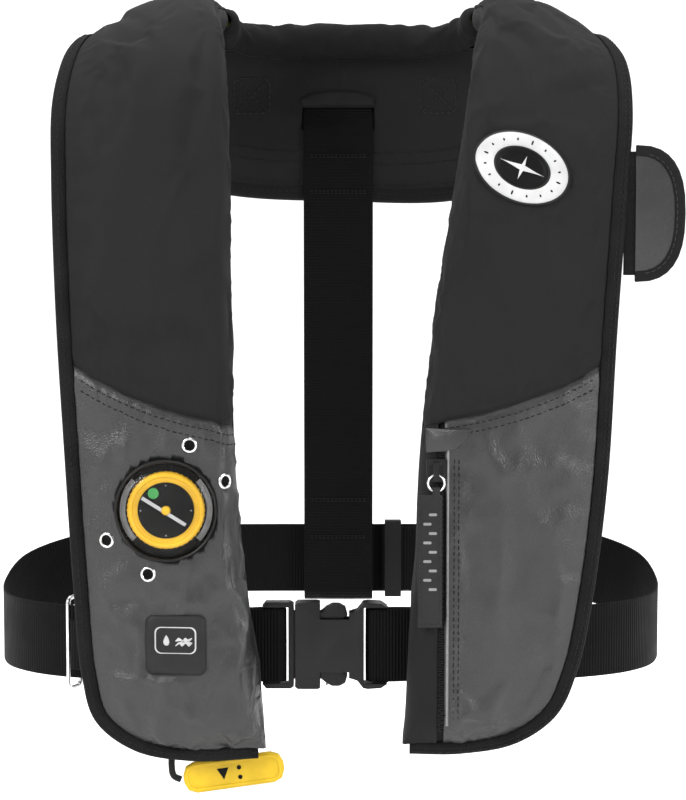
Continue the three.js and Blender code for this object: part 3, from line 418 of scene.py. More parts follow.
def plastic(name, color, rough, grain=0.00006, coat=0.0, specular=0.4):
    """Moulded plastic: fine moulding texture, faint scuffs and a little uneven gloss."""
    n = Nodes(name, rough)
    place = n.object_place()
    cloud = n.noise(place, 45, 4)
    scuff = n.noise(place, 260, 4, (1, 1, 6))
    dark = tuple(c * 0.82 for c in color)
    light = tuple(min(1.0, c * 1.12 + 0.003) for c in color)
    n.link(n.ramp(cloud, dark, light), "Base Color")
    n.link(n.math("ADD", n.remap(scuff, rough - 0.07, rough + 0.1), n.math("MULTIPLY", cloud, 0.04)),
           "Roughness")
    n.bump((n.noise(place, 1600, 3), grain), (scuff, grain * 0.6))
    return n.fixed(Coat_Weight=coat, Coat_Roughness=0.2, Specular_IOR_Level=specular)


def metal(name, level, rough=0.14):
    n = Nodes(name, rough, 1.0)
    place = n.object_place()
    scratch = n.noise(place, 900, 4, (1, 1, 0.08))
    cloud = n.noise(place, 120, 3)
    n.link(n.ramp(cloud, shade(level * 0.86), shade(level * 1.04)), "Base Color")
    n.link(n.remap(scratch, rough - 0.05, rough + 0.14), "Roughness")
    n.bump((scratch, 0.00002), (cloud, 0.00008))
    return n.fixed(Specular_IOR_Level=0.5)


def clear(name):
    n = Nodes(name, 0.06)
    place = n.object_place()
    n.link(n.ramp(n.noise(place, 60, 3), (0.02, 0.02, 0.02), (0.05, 0.05, 0.05)), "Base Color")
    n.link(n.remap(n.noise(place, 300, 4), 0.03, 0.12), "Roughness")
    n.bump((n.noise(place, 40, 2), 0.0001))
    return n.fixed(Alpha=0.07, IOR=1.5)


NYLON = woven("charcoal_nylon", 25, (1, 0.97, 1))
ROLL_CLOTH = woven("collar_nylon", 12, (1, 0.97, 1))
LINING_CLOTH = woven("lining_mesh_cloth", 22, pitch=0.0016)
GRAIN = grained("leather_grain_cloth", 27, (0.99, 0.99, 1.01))
TAPE = ribbed("edge_tape", 21, 0.0012, rough=0.7, rib_depth=0.0002)
WEBBING = ribbed("black_webbing", 5)
PLAIN_TAPE = woven("plain_tape", 18, pitch=0.0009)
THREAD = woven("black_thread", 24, pitch=0.0006, rough=0.55)
GREY_THREAD = woven("grey_thread", 44, pitch=0.0006, rough=0.5)
BLADDER_CLOTH = woven("bladder_cloth", 190, (1, 0.95, 0.5), pitch=0.0008, rough=0.45)
BLACK = plastic("black_moulding", shade(9, (1, 1, 1.04)), 0.34, coat=0.03, specular=0.22)
MATT_BLACK = plastic("matt_black_moulding", shade(10), 0.5, 0.0001, specular=0.18)
YELLOW = plastic("yellow_moulding", shade(224, (1, 0.78, 0.13)), 0.36)
HANDLE_YELLOW = plastic("handle_yellow", shade(196, (1, 0.82, 0.02)), 0.48, 0.0001)
GREEN = plastic("green_moulding", shade(120, (0.5, 1.2, 0.6)), 0.4)
WHITE = plastic("white_print", shade(176), 0.55, 0.00004)
DIAL_BLACK = plastic("dial_black", shade(4), 0.5, 0.00004, specular=0.1)
RUBBER = plastic("patch_rubber", shade(17), 0.55, 0.00012, specular=0.28)
RED = plastic("red_tube", shade(125, (1, 0.25, 0.27)), 0.5)
STEEL = metal("polished_steel", 226)
GREY_STEEL = metal("plated_cylinder", 160, 0.3)
CLEAR = clear("clear_dome")
# Painted reflection: grey metal film for the strips that stand for the window dome's reflections.
PAINTED_REFLECTION = metal("painted_reflection_film", 130, 0.4)
GREY_PRINT = plastic("grey_print", shade(120), 0.5, 0.00004)
GREY_TAPE = woven("grey_piping", 120, pitch=0.0008, rough=0.5)
WEBBING_PLAIN = woven("plain_webbing", 27, pitch=0.0016)


# ---- floor, backdrop and light ----
def studio():
    """A round white bowl for floor and backdrop, so that it stands behind the part from every side."""
    below, bend, reach, wall, segments, steps = 0.03, 0.8, 5.2, 2.4, 72, 12
    floor_z = float(cad_box[0][2]) - below
    profile = [(0.01, floor_z), (reach - bend, floor_z)]
    for step in range(1, steps + 1):
        a = step / steps * math.pi / 2
        profile.append((reach - bend + bend * math.sin(a), floor_z + bend * (1 - math.cos(a))))
    profile.append((reach, floor_z + wall))
    angles = [2 * math.pi * k / segments for k in range(segments)]
    points, faces = loft([[(r * math.cos(a), r * math.sin(a), z) for a in angles] for r, z in profile],
                         closed_ends=False)
    faces.append(tuple(range(segments))[::-1])
    mesh = bpy.data.meshes.new("floor")
    mesh.from_pydata(points, [], faces)
    mesh.polygons.foreach_set("use_smooth", [True] * len(faces))
    floor = bpy.data.objects.new("floor", mesh)
    paper = Nodes("white_paper", 0.9)
    paper.link(paper.ramp(paper.noise(paper.object_place(), 3), (0.86,) * 3, (0.9,) * 3), "Base Color")
    mesh.materials.append(paper.fixed(Emission_Color=(1, 1, 1, 1), Emission_Strength=0.3))
    bpy.context.scene.collection.objects.link(floor)

    world = bpy.data.worlds.new("studio")
    world.use_nodes = True
    color, strength = world.node_tree.nodes["Background"].inputs[:2]
    color.default_value, strength.default_value = (1, 1, 1, 1), 0.5
    bpy.context.scene.world = world
    on_part, on_backdrop = (0, 0, -0.25), (0, 1.4, 0.3)
    for name, place, aim, size, watts in (("key", (-1.5, -1.3, 0.9), on_part, 0.9, 44),
                                          ("fill", (1.7, -1.0, 0.4), on_part, 0.8, 26),
                                          ("top", (0.1, -0.3, 1.7), on_part, 1.2, 16),
                                          ("wash", (0, 0.7, 1.6), on_backdrop, 2.2, 40)):
        data = bpy.data.lights.new(name, "AREA")
        data.size, data.energy = size, watts
        lamp = bpy.data.objects.new(name, data)
        lamp.location = place
        lamp.rotation_euler = (Vector(aim) - Vector(place)).to_track_quat("-Z", "Y").to_euler()
        bpy.context.scene.collection.objects.link(lamp)
    bpy.context.scene.view_settings.view_transform = "Standard"


studio()


# ---- pull handle and its lanyard ----
# The lanyard's route from the firing lever, inside the lobe, out past the hem to the handle.
LANYARD_D = 0.0045
LANYARD_ROUTE = [
    (-0.113, -0.0990, -0.3502), (-0.113, -0.0974, -0.375), (-0.113, -0.088, -0.417),
    (-0.113, -0.088, -0.455), (-0.113, -0.088, -0.484), (-0.1138, -0.088, -0.496),
    (-0.1124, -0.0874, -0.504), (-0.1076, -0.087, -0.5066),
]


def pull_lanyard():
    curve = bpy.data.curves.new("pull_lanyard_cord", "CURVE")
    curve.dimensions = "3D"
    route = Spline(LANYARD_ROUTE)(np.linspace(0, 1, 28))
    line = curve.splines.new("POLY")
    line.points.add(len(route) - 1)
    for point, place in zip(line.points, route):
        point.co = (*place, 1)
    curve.bevel_depth = LANYARD_D / 2
    curve.bevel_resolution = 4
    curve.use_fill_caps = True
    curve.materials.append(THREAD)
    lanyard = bpy.data.objects.new("pull_lanyard_cord", curve)
    bpy.context.scene.collection.objects.link(lanyard)
    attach(lanyard, "handle")
    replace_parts(lanyard, "pull_lanyard")


def pull_handle():
    handle = moulded("pull_handle", "pull_handle_grip", HANDLE_YELLOW, 0.0012, "handle", 4)
    return handle


handle_grip = pull_handle()
pull_lanyard()


# ---- chest lobes: the same surfaces as the CAD's, as fine cloth ----
def hem(lift):
    return lift - LOBE_DROP


C = CHEST_HALF
# Outer and inner edge points, each (distance from the middle, height, depth), in mm.
LEFT_STATIONS = [
    ((C - 136, hem(2), EDGE_Y), (50, hem(8), EDGE_Y)), ((C - 90, hem(0), EDGE_Y), (51, hem(20), EDGE_Y)),
    ((C - 52, hem(7), EDGE_Y), (52, hem(34), EDGE_Y)), ((C - 26, hem(27), EDGE_Y), (54, hem(52), EDGE_Y)),
    ((C - 17, hem(58), EDGE_Y), (57, hem(76), EDGE_Y)), ((C - 12, hem(118), EDGE_Y), (63, hem(122), EDGE_Y)),
    ((C - 7, hem(204), EDGE_Y), (70, hem(202), EDGE_Y)), ((C - 2, -190, EDGE_Y), (72, -192, EDGE_Y)),
    ((C, -102, EDGE_Y), (73, -112, EDGE_Y)), ((C, -56, -84), (75, -46, -84)),
    ((C - 5, -27, -58), (78, -12, -60)), ((C - 13, -14, -20), (83, 8, -22)), ((C - 18, -24, 26), (80, 9, 20)),
]
RIGHT_STATIONS = [
    ((C - 145, hem(5), EDGE_Y), (41, hem(11), EDGE_Y)), ((C - 110, hem(5), EDGE_Y), (42, hem(22), EDGE_Y)),
    ((C - 73, hem(12), EDGE_Y), (43, hem(37), EDGE_Y)), ((C - 46, hem(31), EDGE_Y), (44, hem(56), EDGE_Y)),
    ((C - 32, hem(62), EDGE_Y), (46, hem(88), EDGE_Y)), ((C - 22, hem(112), EDGE_Y), (49, hem(132), EDGE_Y)),
    ((C - 13, hem(190), EDGE_Y), (52, hem(206), EDGE_Y)), ((C - 8, -208, EDGE_Y), (60, -210, EDGE_Y)),
    ((C - 2, -112, EDGE_Y), (73, -118, EDGE_Y)), ((C + 2, -60, -84), (83, -56, -82)),
    ((C, -29, -58), (90, -15, -58)), ((C - 11, -14, -20), (96, 9, -22)), ((C - 17, -24, 26), (92, 10, 20)),
]


class Lobe:
    def __init__(self, side, stations):
        mirror = lambda p: (side * p[0] * MM, p[2] * MM, p[1] * MM)
        self.side = side
        self.outer = Spline([mirror(a) for a, _ in stations])
        self.inner = Spline([mirror(b) for _, b in stations])

    def sewn(self, t):
        p = self.outer(t)
        tangent = unit(self.outer(t + 0.01) - self.outer(t - 0.01))
        inward = self.inner(t) - p
        inward = unit(inward - (inward * tangent).sum(-1, keepdims=True) * tangent)
        return p + inward * BINDING * MM

    def base(self, t, u):
        return lerp(self.sewn(t), self.inner(t), np.asarray(u)[..., None])

    def normal(self, t, u):
        across = self.inner(t) - self.outer(t)
        along = self.base(t + 0.012, u) - self.base(t - 0.012, u)
        return unit(np.cross(across, along) * -self.side)

    def face(self, t, w, off=0.0, front=True):
        """Point of the front or back cloth; w runs from the sewn edge, 0, to the rolled inner fold, 1."""
        f = np.maximum(0, (w - 0.6) / 0.4) * math.pi / 2
        a = np.where(w < 0.6, w / 0.6 * 0.87, 0.87 + 0.13 * np.sin(f))
        thin = lerp(0.2, 1, smooth_step(t, 0, 0.2)) * lerp(1, 0.62, smooth_step(t, 0.72, 1))
        puff, clear_by, gap = (LOBE_PUFF, COVER + GAP, GAP) if front else (LINING_PUFF, -LINING - GAP, -GAP)
        height = puff * MM * (1 - (1 - np.minimum(a, 1)) ** 3) * thin * np.cos(f)
        lift = clear_by * MM * np.cos(f) + gap * MM * np.sin(f)
        n = self.normal(t, a)
        out = n if front else -n
        across = unit(self.inner(t) - self.sewn(t))
        push = out * np.cos(f)[..., None] + across * np.sin(f)[..., None]
        off = np.asarray(off)[..., None]
        return self.base(t, a) + out * height[..., None] + n * lift[..., None] + push * off

    def seam_t(self, w):
        """Where the front reaches the seam between nylon and leather-grain cloth."""
        want = (-SEAM_DROP + 40 * (1 - w) ** 2.4) * MM
        low_t, high_t = np.full_like(w, 0.2), np.full_like(w, 0.75)
        for _ in range(24):
            middle = (low_t + high_t) / 2
            below = self.face(middle, w)[..., 2] < want
            low_t, high_t = np.where(below, middle, low_t), np.where(below, high_t, middle)
        return low_t


LOBES = (("left", Lobe(-1, LEFT_STATIONS)), ("right", Lobe(1, RIGHT_STATIONS)))
ROWS_LOWER, ROWS_UPPER, COLS = 96, 116, 64
ZIP_HALF = 0.0022  # half the room for the zip's teeth
COVER_CLOTH, LINING_SHEET, PANEL_SHEET = 0.0016, 0.0011, 0.0012  # thickness of each cloth as drawn


def wrinkle(points, side):
    """How far loose cloth stands in or out at each point, in metres: long slanting folds, small creases."""
    out = np.zeros(len(points))
    for k, (x, y, z) in enumerate(points):
        slant = Vector((x * 24 + z * 4 * side, y * 8, z * 6 - x * 5 * side))
        crease = Vector((x * 60 + z * 22, y * 20, z * 44 - x * 12))
        ridge = 1 - abs(noise.noise(slant + Vector((3.1 * side, 0, 1.7)))) * 2
        out[k] = 0.0022 * ridge * ridge * ridge + 0.0009 * noise.noise(crease)
    return out


def lobe_grid(lobe):
    w = np.linspace(0, 1, COLS)[None, :]
    seam = lobe.seam_t(w)
    lower = lerp(0.012, seam, np.linspace(0, 1, ROWS_LOWER)[:, None])
    upper = lerp(seam, 0.998, np.linspace(0, 1, ROWS_UPPER)[:, None])
    t = np.vstack([lower, upper[1:]])
    return t, np.broadcast_to(w, t.shape)


def settle(name, grid, pins, pressure, grow, cap, frames=18):
    """Cloth run of a sewn, slightly oversize cover under light pressure; no point moves more than cap."""
    rows, cols = grid.shape[:2]
    start = grid.reshape(-1, 3).copy()
    mesh = bpy.data.meshes.new(name)
    mesh.from_pydata([tuple(p) for p in start], [], grid_faces(rows, cols))
    cloth_object = bpy.data.objects.new(name, mesh)
    bpy.context.scene.collection.objects.link(cloth_object)
    group = cloth_object.vertex_groups.new(name="sewn")
    for level in np.unique(pins):
        if level > 0:
            group.add([int(i) for i in np.flatnonzero(pins.ravel() == level)], float(level), "REPLACE")
    modifier = cloth_object.modifiers.new("cloth", "CLOTH")
    s = modifier.settings
    s.quality = 7
    s.mass = 0.15
    s.tension_stiffness = s.compression_stiffness = 22
    s.shear_stiffness = 9
    s.bending_stiffness = 0.35
    s.air_damping = 3
    s.use_pressure = True
    s.uniform_pressure_force = pressure
    s.shrink_min = -grow
    s.vertex_group_mass = "sewn"
    s.effector_weights.gravity = 0
    modifier.point_cache.frame_end = frames
    scene = bpy.context.scene
    for step in range(1, frames + 1):
        scene.frame_set(step)
    graph = bpy.context.evaluated_depsgraph_get()
    moved = np.zeros(len(start) * 3)
    cloth_object.evaluated_get(graph).data.vertices.foreach_get("co", moved)
    scene.frame_set(1)
    bpy.data.objects.remove(cloth_object)
    bpy.data.meshes.remove(mesh)
    shift = moved.reshape(-1, 3) - start
    size = np.linalg.norm(shift, axis=1, keepdims=True)
    shift *= np.minimum(1, cap / np.maximum(size, 1e-9))
    return (start + shift).reshape(rows, cols, 3)


def cover_surface(lobe, name):
    """The whole front cloth of a lobe, puckered at its seams and wrinkled between them."""
    t, w = lobe_grid(lobe)
    grid = lobe.face(t, w)
    n = grid_normals(grid, lobe.side)
    rows = np.arange(grid.shape[0])[:, None]
    from_seam = np.abs(rows - (ROWS_LOWER - 1)) * 2.4 * MM
    free = smooth_step(w, 0.0, 0.14) * smooth_step(from_seam, 0, 0.012) * smooth_step(t, 0.01, 0.06)
    free = free * (1 - smooth_step(w, 0.93, 1.0)) * np.where(near_hardware(grid, lobe), 0.0, 1.0)
    grid = grid + n * (wrinkle(grid.reshape(-1, 3), lobe.side).reshape(t.shape) * free)[..., None]
    dip = np.exp(-((from_seam / 0.0022) ** 2)) * 0.0011
    pucker = 0.0004 * np.sin(w * 260) * np.exp(-((from_seam - 0.004) / 0.003) ** 2)
    grid = grid - n * (dip + pucker)[..., None]
    pins = np.where(free < 0.05, 1.0, np.where(free < 0.5, 0.35, 0.0))
    moved = settle(name, grid, pins, 1.2, 0.022, 0.0045)
    push = ((moved - grid) * n).sum(-1)
    return grid + n * np.clip(push, -0.0016, 0.0045)[..., None] + ((moved - grid) - n * push[..., None]) * 0.5


def grid_normals(grid, side):
    rows, cols = np.gradient(grid, axis=0), np.gradient(grid, axis=1)
    n = unit(np.cross(cols, rows) * -side)
    return n if n[len(n) // 3, COLS // 3, 1] < 0 else -n


HARDWARE = {-1: ("window_rim", "chest_patch", "eyelet_1", "eyelet_2", "eyelet_3", "eyelet_4"),
            1: ("oval_badge", "zip_flap")}


def near_hardware(grid, lobe):
    """Cloth that something hard is fixed to lies flat."""
    near = np.zeros(grid.shape[:2], bool)
    for node in HARDWARE[lobe.side]:
        (x0, _, z0), (x1, _, z1) = low(node) - 0.003, high(node) + 0.003
        near |= (grid[..., 0] > x0) & (grid[..., 0] < x1) & (grid[..., 2] > z0) & (grid[..., 2] < z1)
    if lobe.side > 0:
        near |= (grid[..., 0] < high("zip_coil")[0] + 0.006) & (grid[..., 2] < -0.26)
    return near


def subtract(piece, name, shape, at=(0, 0, 0), turn=(0, 0, 0)):
    """Cuts a bmesh shape, turned and set down at a point, out of a piece."""
    mesh = bpy.data.meshes.new(name)
    shape.to_mesh(mesh)
    shape.free()
    tool = bpy.data.objects.new(name, mesh)
    bpy.context.scene.collection.objects.link(tool)
    tool.rotation_euler, tool.location = turn, at
    cutter = piece.modifiers.new(name, "BOOLEAN")
    cutter.operation, cutter.object, cutter.solver = "DIFFERENCE", tool, "EXACT"
    bpy.context.view_layer.update()
    apply_modifiers(piece)
    bpy.data.objects.remove(tool)


def cut_holes(piece, *holes):
    """Round holes (centre, direction, radius) through cloth."""
    for at, direction, radius in holes:
        drill = bmesh.new()
        bmesh.ops.create_cone(drill, cap_ends=True, segments=48, radius1=radius, radius2=radius, depth=0.06)
        subtract(piece, "hole", drill, at, Vector(direction).to_track_quat("Z", "Y").to_euler())


def cut_slot(piece, corner, opposite):
    """A box-shaped slot between two opposite corners."""
    box = bmesh.new()
    bmesh.ops.create_cube(box, size=1)
    middle, size = np.add(corner, opposite) / 2, np.subtract(opposite, corner)
    bmesh.ops.transform(box, verts=box.verts, matrix=Matrix.LocRotScale(Vector(middle), None, Vector(size)))
    subtract(piece, "slot", box)


def eyelet_frame(node):
    """Centre and facing direction of a round CAD ring, from its own mesh."""
    co = np.array([v.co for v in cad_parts[node].data.vertices])
    middle = co.mean(0)
    _, _, axes = np.linalg.svd(co - middle, full_matrices=False)
    n = axes[2] * (-1 if axes[2][1] > 0 else 1)
    return middle, n


def covers():
    surfaces = {}
    for name, lobe in LOBES:
        surfaces[name] = cover_surface(lobe, f"{name}_cover_cloth")
        upper = sheet_piece(f"{name}_nylon_cover", surfaces[name][ROWS_LOWER - 1:], NYLON, COVER_CLOTH,
                            (0, -1, 0))
        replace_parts(upper, f"cover_upper_{name}")
    lower = sheet_piece("left_leather_cover", surfaces["left"][:ROWS_LOWER], GRAIN, COVER_CLOTH,
                        (0, -1, 0))
    holes = [(centre("window_rim"), (0, 1, 0), 0.0342)]
    for k in range(1, 5):
        middle, n = eyelet_frame(f"eyelet_{k}")
        holes.append((middle, n, 0.0042))
    cut_holes(lower, *holes)
    zip_x = centre("zip_coil")[0]
    rows = surfaces["right"][:ROWS_LOWER]
    outside = band(rows, zip_x + ZIP_HALF, True)
    inside = band(rows, zip_x - ZIP_HALF, False)
    pocket = sheet_piece("right_leather_cover", outside, GRAIN, COVER_CLOTH, (0, -1, 0))
    strip = sheet_piece("pocket_strip_cloth", inside, NYLON, COVER_CLOTH, (0, -1, 0))
    for piece, node, slot in ((lower, "cover_lower_left", "leather_grain"),
                              (pocket, "cover_lower_right", "leather_grain"),
                              (strip, "pocket_strip", "nylon")):
        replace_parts(piece, node)
    return surfaces


def zip_split(row, edge_x):
    """Where a row of cloth crosses the line x = edge_x, in steps along the row."""
    fine = np.linspace(0, len(row) - 1, 1200)
    beyond = np.interp(fine, np.arange(len(row)), row[:, 0]) > edge_x
    return np.clip(beyond.mean(), 0.05, 0.97) * (len(row) - 1)


def along_row(row, at):
    """Points of a row of cloth at given steps along it."""
    index = np.arange(len(row))
    return np.stack([np.interp(at, index, row[:, k]) for k in range(3)], 1)


def band(rows, edge_x, outer):
    """The part of each row to one side of the zip line x = edge_x, resampled to the same number of points."""
    out = []
    for row in rows:
        cut = zip_split(row, edge_x)
        first, last = (0, cut) if outer else (cut, len(row) - 1)
        out.append(along_row(row, np.linspace(first, last, COLS // 2)))
    return np.array(out)


surfaces = covers()


def linings():
    for name, lobe in LOBES:
        t, w = np.meshgrid(np.linspace(0.004, 0.998, 120), np.linspace(0, 1, 40), indexing="ij")
        grid = lobe.face(t, w, front=False)
        n = -grid_normals(grid, lobe.side)
        free = smooth_step(w, 0, 0.12) * (1 - smooth_step(w, 0.9, 1)) * smooth_step(t, 0, 0.05)
        loose = wrinkle(grid.reshape(-1, 3) * [1, 1, 0.8], -lobe.side).reshape(t.shape)
        grid = grid + n * (loose * free)[..., None]
        facing = unit(n[60, 20])
        piece = sheet_piece(f"{name}_lining", grid, LINING_CLOTH, LINING_SHEET, facing)
        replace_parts(piece, f"lining_{name}")
        if name == "left":
            cord_x = LANYARD_ROUTE[3][0]
            cut_slot(piece, (cord_x - 0.005, EDGE_Y * MM - 0.001, hem(5) * MM),
                     (cord_x + 0.005, -0.058, hem(84) * MM))


linings()


def shoulder_ends():
    """Cloth that closes each lobe's top end, between its front and its lining."""
    for name, lobe in LOBES:
        front = surfaces[name][-1]
        back = lobe.face(np.full(COLS, 0.992), np.linspace(0, 1, COLS), front=False)
        inset = unit(surfaces[name][-8] - front) * 0.0015
        grid = lerp(front + inset, back, np.linspace(0.04, 1, 7)[:, None, None])
        sheet_piece(f"{name}_shoulder_end", grid, NYLON, 0.001, (0, 1, 0.3))


def zip_backing():
    """Dark tape behind the zip's slot, from the seam to the hem."""
    zip_x, behind = centre("zip_coil")[0], 0.0026
    grid = []
    for row in surfaces["right"][:ROWS_LOWER]:
        at = np.clip(zip_split(row, zip_x) + np.linspace(-3, 3, 7), 0, len(row) - 1)
        grid.append(along_row(row, at) + [0, behind, 0])
    sheet_piece("zip_backing_tape", np.array(grid), PLAIN_TAPE, 0.0005, (0, -1, 0))


shoulder_ends()
zip_backing()


# ---- stitches, edge tape and webbing ----
STITCH, STITCH_GAP, THREAD_R = 0.0031, 0.0013, 0.00032


def stitches(name, runs, material=THREAD, body="root", length=STITCH, gap=STITCH_GAP, radius=THREAD_R):
    """One mesh of sewn stitches: runs are (path, normals) with the thread lying on the cloth."""
    points, faces = [], []
    for path, normals in runs:
        path = np.asarray(path, float)
        normals = np.broadcast_to(np.asarray(normals, float), path.shape)
        run = run_along(path)
        for begin in np.arange(gap, run[-1] - length, length + gap):
            share = np.linspace(begin, begin + length, 5)
            spine = np.stack([np.interp(share, run, path[:, k]) for k in range(3)], 1)
            up = unit(np.array([np.interp(begin, run, normals[:, k]) for k in range(3)]))
            ahead = unit(spine[-1] - spine[0])
            side = unit(np.cross(ahead, up))
            arch = np.array([-0.5, 0.7, 1.0, 0.7, -0.5]) * radius
            thick = np.array([0.55, 0.95, 1.0, 0.95, 0.55]) * radius
            first = len(points)
            for p, rise, r in zip(spine, arch, thick):
                for a in np.arange(6) / 6 * 2 * math.pi:
                    points.append(p + up * (rise + r * math.sin(a)) + side * r * 1.15 * math.cos(a))
            for ring in range(4):
                for k in range(6):
                    a, b = first + ring * 6 + k, first + ring * 6 + (k + 1) % 6
                    faces.append((a, b, b + 6, a + 6))
            faces.append(tuple(first + k for k in range(5, -1, -1)))
            faces.append(tuple(first + 24 + k for k in range(6)))
    return outward_faces(new_piece(name, points, faces, material, body))


def webbing(name, path, wide, width, thick, material, body="root", step=0.003, edge=0.0009):
    """Woven strap with rounded selvedges along a path; wide is the direction of its width."""
    path = even(path, step)
    ahead = unit(np.gradient(path, axis=0))
    w = np.broadcast_to(np.asarray(wide, float), path.shape)
    w = unit(w - (w * ahead).sum(1, keepdims=True) * ahead)
    up = np.cross(ahead, w)
    half, h = width / 2, thick / 2
    count = 22
    across = np.linspace(-half + edge, half - edge, count)
    belly = h * (1 + 0.05 * np.cos(across / half * math.pi))
    section = [(-half, 0.0), (-half + edge * 0.3, h * 0.75)] + list(zip(across, belly))
    section += [(half - edge * 0.3, h * 0.75), (half, 0.0), (half - edge * 0.3, -h * 0.75)]
    section += list(zip(across[::-1], -belly[::-1])) + [(-half + edge * 0.3, -h * 0.75)]
    section = np.array(section)
    rings = [p + s[:, :1] * b + s[:, 1:] * u for p, b, u in zip(path, w, up) for s in [section]]
    points, faces = loft(rings)
    piece = new_piece(name, points, faces, material, body)
    run = run_along(path)
    uv = np.stack([np.repeat(run, len(section)), np.tile(section[:, 0], len(path))], 1)
    set_uv(piece.data, uv)
    outward_faces(piece)
    return piece


def binding(lobe, name):
    """Edge tape folded over the sewn edge, with a row of stitches and a slightly wavy inner edge."""
    t = np.linspace(0.002, 0.998, 260)
    rim, seat = lobe.outer(t), lobe.sewn(t)
    out, n = unit(rim - seat), lobe.normal(t, np.zeros_like(t))
    ripple = 0.0002 * np.sin(t * 330)
    profile = [(-1.4, -3.4), (-1.4, -4.1), (3.5, -3.9), (6, -3.3), (7.4, -2.2), (8, -0.4), (8, 1.4),
               (7.4, 3.1), (6, 4.1), (3, 4.5), (-1.4, 4.3), (-1.5, 3.5), (1.2, 3.2), (1.6, 2.6),
               (1.6, -2.6), (1.2, -3.2)]
    rings = [[p + o * (a * MM + (r if a < 0 else 0)) + m * b * MM for a, b in profile]
             for p, o, m, r in zip(seat, out, n, ripple)]
    points, faces = loft(rings)
    piece = new_piece(f"{name}_edge_tape", points, faces, TAPE)
    around = run_along(profile) * MM
    set_uv(piece.data, np.stack([np.repeat(run_along(rim), len(profile)), np.tile(around, len(t))], 1))
    outward_faces(piece)
    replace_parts(piece, f"binding_{name}")
    rows = [(seat + out * 0.0031 + n * 0.00445, n), (seat + out * 0.0031 - n * 0.0039, -n)]
    if name == "right":
        rows.append((seat + out * 0.0056 + n * 0.0042, n))
    stitches(f"{name}_edge_stitches", rows)


for name, lobe in LOBES:
    binding(lobe, name)


def seam_stitches():
    """Twin rows of stitches just below the seam of each lobe."""
    for name, lobe in LOBES:
        surface = surfaces[name]
        n = grid_normals(surface, lobe.side)
        rows = [(surface[ROWS_LOWER - 1 + k, 2:-2], n[ROWS_LOWER - 1 + k, 2:-2]) for k in (-1, -2)]
        stitches(f"{name}_seam_stitches", rows)


seam_stitches()


# ---- belt and straps, along the CAD's paths ----
WEB, WEB_T = 50 * MM, 2 * MM
BELT_Z = hem(74) * MM
REAR_Y, PLY_Y = 113 * MM, (EDGE_Y + LINING_PUFF + LINING + 4.5) * MM
BUCKLE_Y = PLY_Y + 2.2 * MM
PLY = 3.9 * MM
UP = (0, 0, 1)


def belt_path(points):
    """Belt points (x, y) at the height the belt has there: it rises towards the back."""
    p = np.array(points, float)
    return np.column_stack([p, BELT_Z + 0.030 * smooth_step(p[:, 1], -0.010, REAR_Y)])


def belt():
    half = (CHEST_HALF + 45) * MM
    end = half - 14 * MM
    b = BUCKLE_Y
    turn = [(0.086, b + PLY), (0.040, b + PLY), (0.0206, b + PLY), (0.0182, b + 0.0023), (0.0174, b),
            (0.0182, b - 0.0023), (0.0206, b - PLY)]
    run = [(0.0206, b - PLY), (0.034, b - PLY), (0.052, b - 0.001), (0.100, b - 0.0005),
           (end - 0.061, -0.058), (end - 0.021, -0.034), (end - 0.002, 0), (end, 0.026),
           (end - 0.012, 0.062), (end - 0.049, 0.094),
           (0.120, REAR_Y - 0.005), (0.060, REAR_Y), (0, REAR_Y), (-0.060, REAR_Y), (-0.120, REAR_Y - 0.004),
           (-half + 0.059, 0.094), (-half + 0.014, 0.060), (-half, 0.022), (-half + 0.002, -0.004),
           (-half + 0.020, -0.036), (-half + 0.055, -0.058), (-0.140, PLY_Y + 0.007), (-0.096, PLY_Y + 0.008)]
    path = np.vstack([belt_path(turn), Spline(belt_path(run))(np.linspace(0, 1, 240))[1:]])
    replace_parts(webbing("waist_belt", path, UP, WEB, WEB_T, WEBBING, step=0.0022), "belt")
    tail = Spline(belt_path([(0.150, REAR_Y - 0.015), (0.110, REAR_Y - 0.008), (0.070, REAR_Y - 0.004),
                             (0.030, REAR_Y - 0.0036)]))(np.linspace(0, 1, 60))
    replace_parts(webbing("belt_tail_end", tail, UP, 0.047, 0.0016, WEBBING), "belt_tail")
    y = BUCKLE_Y
    loop = [(-0.138, PLY_Y - 0.0004), (-0.066, PLY_Y - 0.0004), (-0.054, y - PLY + 0.0004),
            (-0.0406, y - PLY), (-0.0382, y - 0.0023), (-0.0374, y), (-0.0382, y + 0.0023),
            (-0.0406, y + PLY), (-0.054, y + PLY),
            (-0.066, PLY_Y + 0.0034), (-0.138, PLY_Y + 0.0034)]
    path = [(x, yy, BELT_Z) for x, yy in loop]
    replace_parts(webbing("front_webbing", path, UP, WEB, WEB_T, WEBBING, "buckle_male", 0.0015), "front_strap")
    tab = [(-0.1824, -0.0672), (-0.174, -0.0718), (-0.164, -0.075), (-0.152, -0.076)]
    path = Spline([(x, yy, BELT_Z) for x, yy in tab])(np.linspace(0, 1, 24))
    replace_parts(webbing("ring_webbing", path, UP, 0.034, 0.0016, WEBBING), "ring_tab")


belt()


def back_strap():
    top = belt_path([(0, REAR_Y)])[0, 2]
    foot = top - WEB / 2 - 0.004
    y, r = BACK_Y * MM, REAR_Y
    run = [(y, -0.040), (y, -0.058), (y - 0.0024, -0.066), (y - 0.005, -0.074), (y - 0.0052, -0.120),
           (y - 0.002, lerp(-0.120, top + 0.036, 0.386)), (y + 0.004, lerp(-0.120, top + 0.036, 0.87)),
           (r - 0.007, top + 0.036), (r - 0.0086, top + 0.020), (r - 0.0086, foot + 0.006),
           (r - 0.006, foot + 0.001), (r, foot - 0.001), (r + 0.0034, foot + 0.002),
           (r + 0.0044, foot + 0.008), (r + 0.0044, top + 0.034), (r - 0.0024, top + 0.064),
           (r - 0.0052, top + 0.084)]
    path = [(-0.002, yy, z) for yy, z in run]
    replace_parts(webbing("back_webbing", path, (1, 0, 0), WEB, WEB_T, WEBBING), "back_strap")


back_strap()


